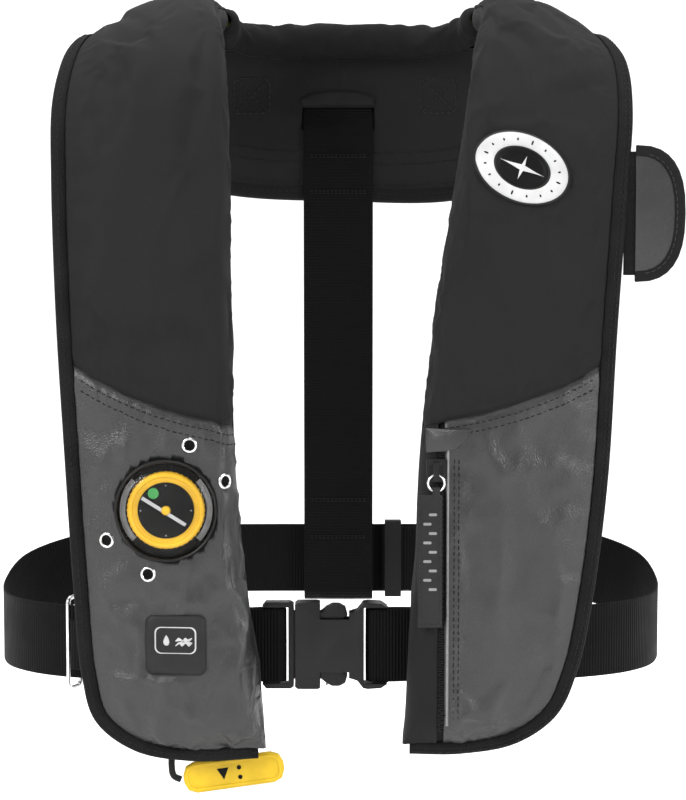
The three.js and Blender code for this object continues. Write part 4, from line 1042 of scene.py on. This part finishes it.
# ---- turned pieces, tubes and pieces laid on the cloth ----
def revolve(name, profile, at, facing, material, body="root", segments=72, node=None):
    """Turned piece: profile of (radius, height) in mm, the height along facing."""
    turn = Vector((0, 0, 1)).rotation_difference(Vector(facing)).to_matrix()
    angles = [2 * math.pi * k / segments for k in range(segments)]
    rings = [[np.array(turn @ Vector((r * math.cos(a), r * math.sin(a), h))) * MM + at for a in angles]
             for r, h in profile]
    points, faces = loft(rings, closed_ends=False)
    piece = outward_faces(new_piece(name, points, faces, material, body))
    with edited(piece.data) as mesh:
        bmesh.ops.dissolve_degenerate(mesh, dist=1e-7, edges=mesh.edges)
        bmesh.ops.holes_fill(mesh, edges=mesh.edges, sides=0)
    bevel_edges(piece, 0.00025, 2, 35)
    if node:
        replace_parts(piece, node)
    return piece


def bevel_edges(piece, width, segments, sharp):
    edge = piece.modifiers.new("edges", "BEVEL")
    edge.width, edge.segments = width, segments
    edge.limit_method, edge.angle_limit = "ANGLE", math.radians(sharp)
    return apply_modifiers(piece)


def tube(name, path, radius, material, body="root", sides=12):
    """Wire bent along a closed path."""
    path = np.asarray(path, float)
    ahead = unit(np.roll(path, -1, 0) - np.roll(path, 1, 0))
    flat = unit(np.cross(path[len(path) // 4] - path[0], path[len(path) // 2] - path[0]))
    side = np.cross(ahead, flat)
    angles = np.arange(sides) / sides * 2 * math.pi
    rings = [[p + radius * (math.cos(a) * s + math.sin(a) * flat) for a in angles]
             for p, s in zip(path, side)]
    points, faces = loft(rings + rings[:1], closed_ends=False)
    return outward_faces(new_piece(name, points, faces, material, body))


def rounded_box(width, height, radius, steps=8):
    out = []
    for k, (sx, sz) in enumerate(((1, 1), (-1, 1), (-1, -1), (1, -1))):
        for a in np.linspace(0, math.pi / 2, steps) + k * math.pi / 2:
            out.append((sx * (width / 2 - radius) + radius * math.cos(a),
                        sz * (height / 2 - radius) + radius * math.sin(a)))
    return np.array(out)


def ellipse(a, b, tilt, count=72):
    f = np.arange(count) / count * 2 * math.pi
    x, z = a * np.cos(f), b * np.sin(f)
    return np.stack([x * math.cos(tilt) - z * math.sin(tilt), x * math.sin(tilt) + z * math.cos(tilt)], 1)


def cloth_at(piece, x, z):
    """Where a line of sight along +Y meets a cloth, and the way the cloth faces there."""
    hit, where, n, _ = piece.ray_cast(Vector((x, -0.4, z)), Vector((0, 1, 0)))[:4]
    if not hit:
        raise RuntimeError(f"{piece.name} isn't behind {x:.3f}, {z:.3f}")
    return np.array(where), unit(np.array(n) * (-1 if n[1] > 0 else 1))


def laid(name, cloth, at, outline, inner, low_off, high_off, material, body="root", rings=6):
    """Solid piece laid on a cloth, between its outline in mm and that outline shrunk to the share inner."""
    shares = np.linspace(inner, 1, rings + 1)
    n = len(outline)
    layers = []
    for off in (high_off, low_off):
        for share in shares:
            crown = off - (0.35 if off == high_off and share > 0.97 else 0)
            spots = [cloth_at(cloth, at[0] + x * share * MM, at[1] + z * share * MM) for x, z in outline]
            layers.append([p + v * crown * MM for p, v in spots])
    points = np.concatenate([np.array(layer) for layer in layers])
    r = rings + 1
    faces = []
    for k in range(n):
        m = (k + 1) % n
        for i in range(rings):
            faces.append((i * n + k, i * n + m, (i + 1) * n + m, (i + 1) * n + k))
            faces.append(((r + i) * n + k, (r + i + 1) * n + k, (r + i + 1) * n + m, (r + i) * n + m))
        faces.append(((r - 1) * n + k, (r - 1) * n + m, (2 * r - 1) * n + m, (2 * r - 1) * n + k))
        if inner > 0:
            faces.append((k, r * n + k, r * n + m, m))
    piece = new_piece(name, points, faces, material, body)
    with edited(piece.data) as mesh:
        bmesh.ops.remove_doubles(mesh, verts=mesh.verts, dist=2e-6)
        bmesh.ops.dissolve_degenerate(mesh, dist=1e-7, edges=mesh.edges)
        bmesh.ops.recalc_face_normals(mesh, faces=mesh.faces)
    return piece


def xz(node):
    c = centre(node)
    return float(c[0]), float(c[2])


cloths = {name: bpy.data.objects[name] for name in
          ("left_leather_cover", "right_nylon_cover", "right_leather_cover", "pocket_strip_cloth")}


# ---- inflator behind its window ----
def inflator():
    rim = centre("window_rim")
    at = np.array([rim[0], high("inflator_cap")[1] + 0.0003, rim[2]])
    ahead = (0, -1, 0)
    base, dome_r = 4.6, 31.6
    arc = [(dome_r * math.cos(a), base + 11 * math.sin(a)) for a in np.linspace(0, math.pi / 2, 20)]
    arc_in = [((dome_r - 1.5) * math.cos(a), base + 9.5 * math.sin(a))
              for a in np.linspace(math.pi / 2, 0, 20)]
    revolve("window_dome_clear", arc + arc_in + [(29, base), (29, base - 1.4), (dome_r, base - 1.4), arc[0]],
            at, ahead, CLEAR, node="window_dome")
    bead = [(31.9, 3.2), (34, 3.2), (34.2, 6), (34, 9), (33.3, 10), (32.4, 9.6), (31.9, 8.6), (31.9, 3.2)]
    revolve("window_rim_ring", bead, at, ahead, BLACK, node="window_rim")
    rim_cap = [(0, 0.3), (25.2, 0.3), (25.5, 1), (25.5, 5.6), (24.9, 6.7), (23.6, 7.2), (22.4, 7.0),
               (21.9, 5.6), (0, 5.6)]
    revolve("inflator_cap_yellow", rim_cap, at, ahead, YELLOW, node="inflator_cap")
    grips(at, 25.4, 44)
    face = [(3.3, 5.9), (18.6, 5.9), (18.6, 6.5), (18.3, 6.7), (3.3, 6.7), (3.3, 5.9)]
    revolve("dial_plate", face, at, ahead, DIAL_BLACK, node="dial_face")
    # Painted shadow: a flat black disc behind the cap, put where the inside of the window lies in shade.
    flat_mark("window_backing", at, 1.9, ellipse(33.2, 33.2, 0, 72), DIAL_BLACK)
    flat_mark("dial_needle", at, 6.75, [(-16.4, 7.4), (-15.2, 9.4), (13.6, -8.6), (12.4, -10.6)], WHITE)
    flat_mark("dial_dot", at, 6.75, ellipse(3.6, 3.6, 0, 32) + [-8.2, 11.4], GREEN)
    for k in range(0, 24, 6):
        a = 2 * math.pi * k / 24
        spot = np.array([16.6 * math.cos(a), 16.6 * math.sin(a)])
        flat_mark(f"dial_tick_{k}", at, 6.75, rounded_box(1.0, 1.0, 0.4, 4) + spot, WHITE)
    button = [(0, 5.9), (2.9, 5.9), (2.9, 7.2), (2.5, 7.8), (1.8, 8), (0, 8)]
    revolve("indicator_hub", button, at, ahead, YELLOW, node="indicator_button")
    clamp = [(20.4, -2.6), (28, -2.6), (28, -0.5), (27.6, -0.3), (20.8, -0.3), (20.4, -2.6)]
    revolve("clamp_ring_turned", clamp, at + [0, 0.0003, 0], ahead, MATT_BLACK, "clamp_ring",
            node="clamp_ring")
    # Painted reflections: a grey strip at each side inside the window.
    for side in (-1, 1):
        painted_reflection_strip(at, side)
    moulded("inflator_body", "inflator_housing", MATT_BLACK, 0.0004)
    moulded("gas_cylinder", "gas_bottle", GREY_STEEL, 0.0003, sharp=40)
    moulded("firing_lever", "firing_arm", MATT_BLACK, 0.0003, "firing_lever")
    for k in range(1, 5):
        eyelet(k)


def grips(at, radius, count):
    """Fine grip ribs round a cap, as separate raised bars in one mesh."""
    points, faces = [], []
    for k in range(count):
        a = 2 * math.pi * k / count
        out = np.array([math.cos(a), 0, math.sin(a)])
        side = np.array([-math.sin(a), 0, math.cos(a)])
        f = len(points)
        for y in (1.2, 6.0):
            for s, r in ((-0.6, -0.3), (-0.4, 0.5), (0.4, 0.5), (0.6, -0.3)):
                points.append(at + out * (radius + r) * MM + side * s * MM - np.array([0, y * MM, 0]))
        faces += [(f, f + 1, f + 5, f + 4), (f + 1, f + 2, f + 6, f + 5), (f + 2, f + 3, f + 7, f + 6),
                  (f + 3, f, f + 4, f + 7), (f + 3, f + 2, f + 1, f), (f + 4, f + 5, f + 6, f + 7)]
    ribs = outward_faces(new_piece("cap_grip_ribs", points, faces, YELLOW, smooth=False))
    bevel_edges(ribs, 0.00015, 2, 30)


def flat_mark(name, at, height, outline, material, body="root", thick=0.25):
    """Raised flat piece on a flat face that looks along -Y, for print, grip bars, and the window's painted
    shadow disc and painted reflection strips; outline in mm about at.
    """
    outline = np.asarray(outline, float)
    n = len(outline)
    points = [at + np.array([x, -h, z]) * MM for h in (height - 0.2, height + thick) for x, z in outline]
    faces = [(k, (k + 1) % n, n + (k + 1) % n, n + k) for k in range(n)]
    faces += [tuple(range(n)), tuple(range(n, 2 * n))]
    piece = outward_faces(new_piece(name, points, faces, material, body, smooth=False))
    return bevel_edges(piece, 0.00008, 2, 30)


def painted_reflection_strip(at, side):
    """Painted reflection: a grey metal strip at one side inside the window, standing for the grey reflection on
    the dome there.
    """
    spread = np.linspace(-0.75, 0.75, 20)
    outline = [(side * 30.6 * math.cos(a), 30.6 * math.sin(a)) for a in spread]
    outline += [(side * 26.8 * math.cos(a), 26.8 * math.sin(a)) for a in spread[::-1]]
    flat_mark("window_reflector_" + ("right" if side > 0 else "left"), at, 3.0, outline, PAINTED_REFLECTION,
              thick=0.5)




def eyelet(k):
    middle, n = eyelet_frame(f"eyelet_{k}")
    x, z = middle[0], middle[2]
    ring_r, hole = 5.3, 3.3
    flat_mark(f"eyelet_mesh_{k}", middle, -2.6, ellipse(4.8, 4.8, 0, 28), DIAL_BLACK)
    spot = middle - n * 0.0004
    lip = [(hole, -2.6), (hole + 0.7, -2.6), (hole + 0.7, -0.4), (ring_r, -0.2), (ring_r + 0.1, 0.4),
           (ring_r - 0.4, 1.1), (ring_r - 1.1, 1.45), (hole + 0.6, 1.35), (hole + 0.1, 0.8), (hole, 0.1),
           (hole, -2.6)]
    revolve(f"eyelet_ring_{k}", lip, spot, n, STEEL, segments=48, node=f"eyelet_{k}")


inflator()


# ---- zip pocket ----
def zip_pocket():
    box_low, box_high = low("zip_coil"), high("zip_coil")
    x = (box_low[0] + box_high[0]) / 2
    face_y = box_low[1]
    strip, leather = cloths["pocket_strip_cloth"], cloths["right_leather_cover"]
    z = np.arange(box_low[2] + 0.002, box_high[2] - 0.001, 0.0017)
    side_y = [min(cloth_at(strip, x - 0.0045, zz)[0][1], cloth_at(leather, x + 0.0045, zz)[0][1]) for zz in z]
    straight = box_low[2] + 0.018
    blend = smooth_step(z, straight - 0.014, straight)
    y = lerp(np.array(side_y) - 0.0002, face_y + 0.0004, blend)
    points, faces = [], []
    loop = [(-1, 0.4), (-0.75, -0.35), (0.0, -0.75), (0.75, -0.35), (1, 0.4)]
    for k, (zz, yy) in enumerate(zip(z, y)):
        slant = 0.35 if k % 2 else -0.35
        first = len(points)
        for a, up in loop:
            for dz, dy in ((-0.55, 0), (0, -0.45), (0.55, 0), (0, 0.6)):
                points.append((x + a * 1.9 * MM, yy + (0.7 + up + dy * 0.8) * MM, zz + (dz + slant * a) * MM))
        for i in range(4):
            for j in range(4):
                a, b = first + i * 4 + j, first + i * 4 + (j + 1) % 4
                faces.append((a, b, b + 4, a + 4))
        faces += [tuple(first + j for j in (3, 2, 1, 0)), tuple(first + 16 + j for j in range(4))]
    teeth = outward_faces(new_piece("zip_teeth", points, faces, MATT_BLACK))
    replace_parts(teeth, "zip_coil")
    core = np.column_stack([np.full_like(z, x), y + 0.0013, z])
    webbing("zip_tape", core, (1, 0, 0), 0.0076, 0.0009, TAPE, edge=0.0002)
    # Light piping on the pocket's edge, beside the teeth.
    piping = np.array([cloth_at(leather, x + 0.0042, zz)[0] - [0, 0.0003, 0] for zz in z[2:-4]])
    angles = np.arange(10) / 10 * 2 * math.pi
    rings = [[p + 0.0009 * np.array([math.cos(a), math.sin(a), 0]) for a in angles] for p in piping]
    points, faces = loft(rings)
    outward_faces(new_piece("zip_piping", points, faces, GREY_TAPE))
    rows = []
    for dx in (0.0085, 0.0115):
        path = [cloth_at(leather, x + dx, zz) for zz in z[4:-6:3]]
        rows.append(([p for p, _ in path], [n for _, n in path]))
    stitches("zip_stitches", rows)

    moulded("zip_slider", "slider_body", BLACK, 0.0005, "zip_slider")
    ring_low, ring_high = low("puller_ring"), high("puller_ring")
    middle = (ring_low + ring_high) / 2
    r = (ring_high[0] - ring_low[0]) / 2 - 0.0008
    around = np.linspace(0, 2 * math.pi, 48, endpoint=False)
    loop = [middle + [r * math.cos(a), 0, r * math.sin(a)] for a in around]
    ring = tube("puller_wire_ring", loop, 0.00075, STEEL, "puller")
    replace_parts(ring, "puller_ring")
    moulded("puller_tab", "puller_strap", RUBBER, 0.0007, "puller")
    tab_low, tab_high = low("puller_tab"), high("puller_tab")
    face = np.array([(tab_low[0] + tab_high[0]) / 2, tab_low[1], 0])
    for k in range(9):
        spot = face + [0.0018 * (-1) ** k, 0, tab_high[2] - 0.018 - k * 0.0062]
        flat_mark(f"puller_mark_{k}", spot, 0.0, rounded_box(5.4, 1.8, 0.8, 5), GREY_PRINT, "puller", 0.15)
    seam_x, top_z, foot_z = 0.0068, tab_high[2] - 0.008, tab_low[2] + 0.002
    edge = [face + [dx, -0.0001, zz]
            for dx, zz in ((-seam_x, top_z), (-seam_x, foot_z), (seam_x, foot_z), (seam_x, top_z))]
    stitches("puller_stitches", [(edge, (0, -1, 0))], GREY_THREAD, "puller", 0.0022, 0.001, 0.00025)
    moulded("zip_flap", "zip_flap_cloth", GRAIN, 0.0003, "zip_flap")


zip_pocket()


# ---- marks: a generic drop over waves, and a generic dial of ticks ----
def chest_patch():
    cloth, at = cloths["left_leather_cover"], xz("chest_patch")
    patch = laid("patch_base", cloth, at, rounded_box(40, 40, 5), 0, 0.2, 2.0, RUBBER)
    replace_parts(patch, "chest_patch")
    frame_line = rounded_box(27.5, 18, 4)
    above = (at[0], at[1] + 0.0035)
    laid("patch_frame", cloth, above, frame_line, 0.93, 1.9, 2.4, WHITE, rings=2)
    f = np.linspace(0, 2 * math.pi, 40, endpoint=False)
    drop = np.stack([2.6 * np.sin(f) * np.sin(f / 2), 3.6 * np.cos(f)], 1)
    laid("patch_drop", cloth, (at[0] - 0.006, above[1]), drop, 0, 1.9, 2.4, WHITE, rings=3)
    s = np.linspace(-5.5, 5.5, 24)
    for k, dz in enumerate((-2.6, 0.6)):
        wave = np.concatenate([np.stack([s, dz + 0.9 * np.sin(s * 1.4) + 0.45], 1),
                               np.stack([s[::-1], dz + 0.9 * np.sin(s[::-1] * 1.4) - 0.45], 1)])
        laid(f"patch_wave_{k}", cloth, (at[0] + 0.0055, above[1]), wave, 0, 1.9, 2.35, WHITE, rings=2)


def oval_badge():
    cloth, at, tilt = cloths["right_nylon_cover"], xz("oval_badge"), -0.4
    base = laid("badge_base", cloth, at, ellipse(32.5, 22.5, tilt), 0, 0.2, 2.2, RUBBER,
                rings=8)
    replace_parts(base, "oval_badge")
    laid("badge_ring", cloth, at, ellipse(31.0, 21.2, tilt), 0.62, 2.1, 2.7, WHITE, rings=6)
    laid("badge_inner", cloth, at, ellipse(18.2, 12.6, tilt), 0, 2.1, 2.5, DIAL_BLACK, rings=4)
    for k in range(16):
        a = 2 * math.pi * k / 16
        reach = 25.2
        x, z = reach * math.cos(a), reach * 0.68 * math.sin(a)
        spot = (at[0] + (x * math.cos(tilt) - z * math.sin(tilt)) * MM,
                at[1] + (x * math.sin(tilt) + z * math.cos(tilt)) * MM)
        tick = ellipse(1.9 if k % 4 == 0 else 1.1, 0.7, a + tilt, 16)
        laid(f"badge_tick_{k}", cloth, spot, tick, 0, 2.6, 2.95, DIAL_BLACK, rings=2)
    for k, (long, wide) in enumerate(((15.5, 2.1), (8.5, 1.6))):
        a = tilt + k * math.pi / 2
        star = np.array([(long, 0), (0, wide), (-long, 0), (0, -wide)])
        turned = np.stack([star[:, 0] * math.cos(a) - star[:, 1] * math.sin(a),
                           star[:, 0] * math.sin(a) + star[:, 1] * math.cos(a)], 1)
        laid(f"badge_star_{k}", cloth, at, turned, 0, 2.4, 2.8, WHITE, rings=3)


chest_patch()
oval_badge()


# ---- collar roll ----
ROLL_Y, ROLL_Z = 9.5 * MM, 11 * MM
ROLL_PATH = Spline([(x * MM, y * MM, z * MM) for x, y, z in (
    (-80, 33, 2), (-78, 58, -6), (-52, 82, -12), (0, BACK_Y - 13, -12), (54, 82, -12), (88, 56, -5),
    (93, 33, 3))])


def roll_grid(inset, first, last, rows, cols):
    """Skin of the roll at a distance inside its outline; its edges meet at the seam underneath."""
    s = np.linspace(first, last, rows)
    p, t = ROLL_PATH(s), unit(ROLL_PATH(s + 0.005) - ROLL_PATH(s - 0.005))
    out = unit(np.stack([t[:, 1], -t[:, 0], 0 * s], 1))
    up = unit(np.cross(t, out)) * -1
    up = np.where(up[:, 2:] < 0, -up, up)
    taper = np.minimum(1, 0.45 + 0.55 * np.sqrt(np.clip(np.minimum(s - first, last - s) / 0.035, 0, 1)))
    f = np.linspace(-math.pi / 2, 1.5 * math.pi, cols)
    a, b = (ROLL_Y - inset) * np.cos(f), (ROLL_Z - inset) * np.sin(f)
    return p[:, None] + (out[:, None] * a[:, None] + up[:, None] * b[:, None]) * taper[:, None, None], p


def collar():
    rows, cols = 150, 44
    grid, spine = roll_grid(0.0012, 0.0, 1.0, rows, cols)
    n = unit(grid - spine[:, None])
    around = np.linspace(0, 1, cols)[None, :]
    free = np.sin(math.pi * around) ** 0.6
    flat = grid.reshape(-1, 3)
    folds = np.array([noise.noise(Vector((x * 95 + z * 30, y * 70, z * 18))) for x, y, z in flat])
    folds = folds.reshape(rows, cols)
    grid = grid + n * (np.clip(folds, -0.7, 0.7) * 0.0016 * free)[..., None]
    pins = np.where((around < 0.04) | (around > 0.96), 1.0, 0.0) * np.ones((rows, 1))
    pins[:3] = pins[-3:] = 1.0
    moved = settle("collar_cloth", grid, pins, 1.5, 0.03, 0.002)
    roll = sheet_piece("collar_roll", moved, ROLL_CLOTH, 0.0014, (0, 0, 0))
    outward_faces(roll)
    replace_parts(roll, "neck_roll")
    rows_of = [(moved[4:-4, k] + n[4:-4, k] * 0.0002, n[4:-4, k]) for k in (3, cols - 4)]
    stitches("collar_stitches", rows_of, GREY_THREAD)
    core, spine = roll_grid(0.0045, 0.07, 0.93, 90, 28)
    points, faces = loft([ring[:-1] for ring in core])
    inside = outward_faces(new_piece("folded_collar_bladder", points, faces, BLADDER_CLOTH))
    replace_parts(inside, "bladder_collar")


collar()


# ---- back panel ----
PANEL = [((-172, -28, 36), (-94, 0, 38)), ((-171, -62, 66), (-92, -14, 70)),
         ((-146, -102, 92), (-58, -27, 95)), ((-84, -121, 100), (-28, -27, BACK_Y)),
         ((0, -126, BACK_Y), (0, -27, BACK_Y)),
         ((84, -125, 100), (30, -27, BACK_Y)), ((148, -104, 92), (62, -26, 95)),
         ((173, -62, 66), (103, -13, 68)), ((173, -28, 36), (107, 1, 38))]
PANEL_HEM = Spline([(x * MM, y * MM, z * MM) for (x, z, y), _ in PANEL])
PANEL_TOP = Spline([(x * MM, y * MM, z * MM) for _, (x, z, y) in PANEL])
LAYER, HEM_SHARE = 1.7, 0.085
STRAP_X = -2 * MM


def panel_point(s, u, off):
    s, u = np.broadcast_arrays(np.asarray(s, float), np.asarray(u, float))
    base = lambda a: lerp(PANEL_HEM(a), PANEL_TOP(a), u[..., None])
    along = base(np.minimum(s + 0.01, 1)) - base(np.maximum(s - 0.01, 0))
    up = PANEL_TOP(s) - PANEL_HEM(s)
    n = unit(np.cross(up, along))
    return base(s) + n * (np.asarray(off) * MM)[..., None], n


def back_panel():
    s, u = np.meshgrid(np.linspace(0, 1, 170), np.linspace(HEM_SHARE - 0.02, 1, 56), indexing="ij")
    # The middle of the panel runs up behind the collar roll, where it is sewn in.
    inner_part = smooth_step(s, 0.13, 0.25) * (1 - smooth_step(s, 0.75, 0.87))
    u = u * (1 + 0.17 * inner_part * smooth_step(u, 0.7, 1))
    free = smooth_step(u, 0.1, 0.25) * (1 - smooth_step(u, 0.85, 1))
    for node, off, name in (("back_panel_lining", -LAYER - LINING, "back_panel_inner"),
                            ("back_panel_cover", LAYER + COVER, "back_panel_outer")):
        grid, n = panel_point(s, u, np.full_like(s, off))
        facing = n if off > 0 else -n
        loose = np.array([noise.noise(Vector((x * 34, y * 20, z * 46 + off)))
                          for x, y, z in grid.reshape(-1, 3)])
        sag = loose.reshape(s.shape) * 0.0016 * free
        middle = np.exp(-(((s - 0.5) / 0.006) ** 2)) * 0.0009 * (u > 0.5)
        grid = grid + facing * np.clip(sag - middle, -0.001, 0.0016)[..., None]
        sheet = sheet_piece(name, grid, NYLON, PANEL_SHEET, facing[85, 28])
        if off < 0:
            cut_slot(sheet, (STRAP_X - WEB / 2 - 0.001, 0.05, -0.0745),
                     (STRAP_X + WEB / 2 + 0.001, BACK_Y * MM + 0.001, -0.0585))
        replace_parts(sheet, node)
    s = np.linspace(0, 1, 240)
    half = LAYER + COVER + 0.6
    profile = [(0.1, -LAYER - LINING - 0.5), (0.02, -LAYER - LINING - 0.7), (0.0, -1.5), (0.0, 1.7),
               (0.02, half), (0.1, half - 0.3), (0.1, half - 1.0), (0.03, half - 1.0),
               (0.03, -LAYER - LINING + 0.2),
               (0.1, -LAYER - LINING + 0.1)]
    rings = np.stack([panel_point(s, np.full_like(s, u0), np.full_like(s, off))[0] for u0, off in profile], 1)
    points, faces = loft(list(rings))
    hem_tape = outward_faces(new_piece("back_panel_hem_tape", points, faces, PLAIN_TAPE))
    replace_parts(hem_tape, "back_panel_hem")
    rows = []
    for u0 in (0.065, 0.13, 0.28, 0.36):
        for off in (-LAYER - LINING - 0.75, ) if u0 > 0.1 else (-LAYER - LINING - 0.85, half + 0.05):
            line, n = panel_point(s[8:-8], np.full(224, u0), np.full(224, off))
            rows.append((line, n * np.sign(off)))
    stitches("back_panel_stitches", rows)


back_panel()


def panel_details():
    """Stitched squares where the collar straps are sewn, and the arched guard over the strap's slot."""
    panel = bpy.data.objects["back_panel_inner"]
    runs = []
    half = 0.0125
    corners = [(-half, -half), (half, -half), (half, half), (-half, half)]
    sides = list(zip(corners, corners[1:] + corners[:1]))
    crossed = [(corners[0], corners[2]), (corners[3], corners[1])]
    for cx in (-0.064, 0.070):
        for a, b in sides + crossed:
            spots = [cloth_at(panel, cx + lerp(a[0], b[0], k / 8), -0.050 + lerp(a[1], b[1], k / 8))
                     for k in range(9)]
            runs.append(([p + n * 0.0004 for p, n in spots], [n for _, n in spots]))
    stitches("panel_square_stitches", runs, GREY_THREAD)
    arc = [(-26.5, -4.5), (26.5, -4.5), (26.5, 0)]
    arc += [(26.5 * math.cos(a), 5.5 * math.sin(a)) for a in np.linspace(0.05, math.pi - 0.05, 22)]
    arc += [(-26.5, 0)]
    guard = laid("strap_guard", panel, (STRAP_X, -0.0525), arc, 0, 0.2, 1.4, WEBBING_PLAIN, rings=4)
    tacks = []
    for z0 in (-0.094, -0.120, -0.345, -0.372):
        for dz in (0, 0.0016):
            y = strap_face(z0)
            tacks.append(([(STRAP_X - 0.021, y, z0 + dz), (STRAP_X + 0.021, y, z0 + dz)], (0, -1, 0)))
    stitches("strap_bartacks", tacks, THREAD, "root", 0.0022, 0.0007, 0.0004)


def strap_face(z):
    strap = bpy.data.objects["back_webbing"]
    _, where, _, _ = strap.ray_cast(Vector((STRAP_X, -0.3, z)), Vector((0, 1, 0)))[:4]
    return where[1] - 0.0001


panel_details()


# ---- buckle, wire ring, side tab, keeper and the rest ----
def hardware():
    for node, name, body in (("buckle_female", "buckle_socket", "root"),
                             ("buckle_male", "buckle_plug", "buckle_male"),
                             ("prong_upper", "upper_prong", "prong_upper"),
                             ("prong_lower", "lower_prong", "prong_lower")):
        moulded(node, name, BLACK, 0.0009, body, 4)
    ribs_on_buttons()
    ring_low, ring_high = low("belt_ring"), high("belt_ring")
    middle = (ring_low + ring_high) / 2
    ahead = unit(np.array([0.5, 0.87, 0]))
    tall = ring_high[2] - ring_low[2] - 0.003
    path = [middle + ahead * a * MM + np.array([0, 0, z * MM]) for a, z in rounded_box(14, tall / MM, 4, 8)]
    ring = tube("belt_wire_ring", path, 0.0015, STEEL, "belt_ring")
    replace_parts(ring, "belt_ring")
    moulded("belt_keeper", "elastic_keeper", WEBBING_PLAIN, 0.0006, "belt_keeper")
    leather = moulded("side_tab_panel", "side_tab_leather", GRAIN, 0.0006, "side_tab")
    a, b = low("side_tab_panel"), high("side_tab_panel")
    anchor = Vector((a[0], (a[1] + b[1]) / 2, (a[2] + b[2]) / 2))
    grow = Matrix.Translation(anchor) @ Matrix.Diagonal((1.07, 1, 1.045, 1)) @ Matrix.Translation(-anchor)
    leather.data.transform(grow)
    side_tab_hinge()
    moulded("side_tab_tape", "side_tab_binding", PLAIN_TAPE, 0.0009, "side_tab")
    moulded("oral_tube", "oral_inflation_tube", RED, 0.0003)
    moulded("oral_valve", "oral_valve_stem", WHITE, 0.0003, "oral_valve")
    for name in ("bladder_left", "bladder_right"):
        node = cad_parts[name]
        node.data.materials.clear()
        node.data.materials.append(BLADDER_CLOTH)
    tab_low, tab_high = low("side_tab_tape"), high("side_tab_tape")
    middle_z, half = (tab_low[2] + tab_high[2]) / 2, (tab_high[2] - tab_low[2]) / 2
    wide = tab_high[0] - tab_low[0]
    f = np.linspace(-0.5, 0.5, 60) * math.pi
    c, q = np.maximum(np.cos(f), 0) ** 0.75, np.sign(np.sin(f)) * np.abs(np.sin(f)) ** 0.8
    line = np.stack([tab_low[0] + (wide - 0.0056) * c, np.full(60, tab_low[1] - 0.0001),
                     middle_z + (half - 0.0056) * q], 1)
    stitches("side_tab_stitches", [(line[2:-2], (0, -1, 0))], GREY_THREAD, "side_tab")


def side_tab_hinge():
    """The tab's cloth where it is sewn under the lobe's edge tape."""
    a, b = low("side_tab_tape"), high("side_tab_tape")
    x0, x1 = a[0] - 0.0075, a[0] + 0.0035
    z = np.linspace(a[2] + 0.0045, b[2] - 0.0045, 60)
    x = np.linspace(x0, x1, 14)
    y = (a[1] + b[1]) / 2
    grid = np.array([[(xx, y + 0.0002 * math.sin(zz * 900), zz) for xx in x] for zz in z])
    strip = sheet_piece("side_tab_fold", grid, PLAIN_TAPE, 0.0016, (0, -1, 0), body=None)
    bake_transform(strip)


def ribs_on_buttons():
    """Raised grip bars on the two release buttons."""
    for node, dz in (("prong_upper", 0.0024), ("prong_lower", -0.0024)):
        a, b = low(node), high(node)
        for k in range(3):
            spot = np.array([a[0] + 0.017 + k * 0.0034, a[1], (a[2] + b[2]) / 2 + dz])
            flat_mark(f"{node}_rib_{k}", spot, 0.0, rounded_box(1.1, 4.6, 0.5, 4), BLACK, node, 0.4)


hardware()


def handle_marks():
    """Raised rim, a plain arrow and two dots on the pull handle."""
    a, b = low("pull_handle"), high("pull_handle")
    middle = np.array([(a[0] + b[0]) / 2, a[1], (a[2] + b[2]) / 2])
    tilt = 0.14
    turn = np.array([[math.cos(tilt), -math.sin(tilt)], [math.sin(tilt), math.cos(tilt)]])
    outer = rounded_box(65, 18.4, 7) @ turn.T
    inner = rounded_box(61, 14.4, 5.4) @ turn.T
    n = len(outer)
    points = []
    for loop, height in ((outer, -0.2), (outer, 0.5), (inner, 0.5), (inner, -0.2)):
        points += [middle + np.array([x, -height, z]) * MM for x, z in loop]
    faces = [(r * n + k, r * n + (k + 1) % n, ((r + 1) % 4) * n + (k + 1) % n, ((r + 1) % 4) * n + k)
             for r in range(4) for k in range(n)]
    rim = outward_faces(new_piece("handle_rim", points, faces, HANDLE_YELLOW, "handle"))
    bevel_edges(rim, 0.00015, 2, 30)
    arrow = np.array([(-11, 4.2), (-3, 4.2), (-7, -3.6)]) @ turn.T
    flat_mark("handle_arrow", middle, 0.0, arrow, DIAL_BLACK, "handle", 0.3)
    for k, dz in enumerate((3.2, -3.4)):
        dot = (ellipse(1.5, 1.5, 0, 24) + [4, dz]) @ turn.T
        flat_mark(f"handle_dot_{k}", middle, 0.0, dot, DIAL_BLACK, "handle", 0.3)


handle_marks()
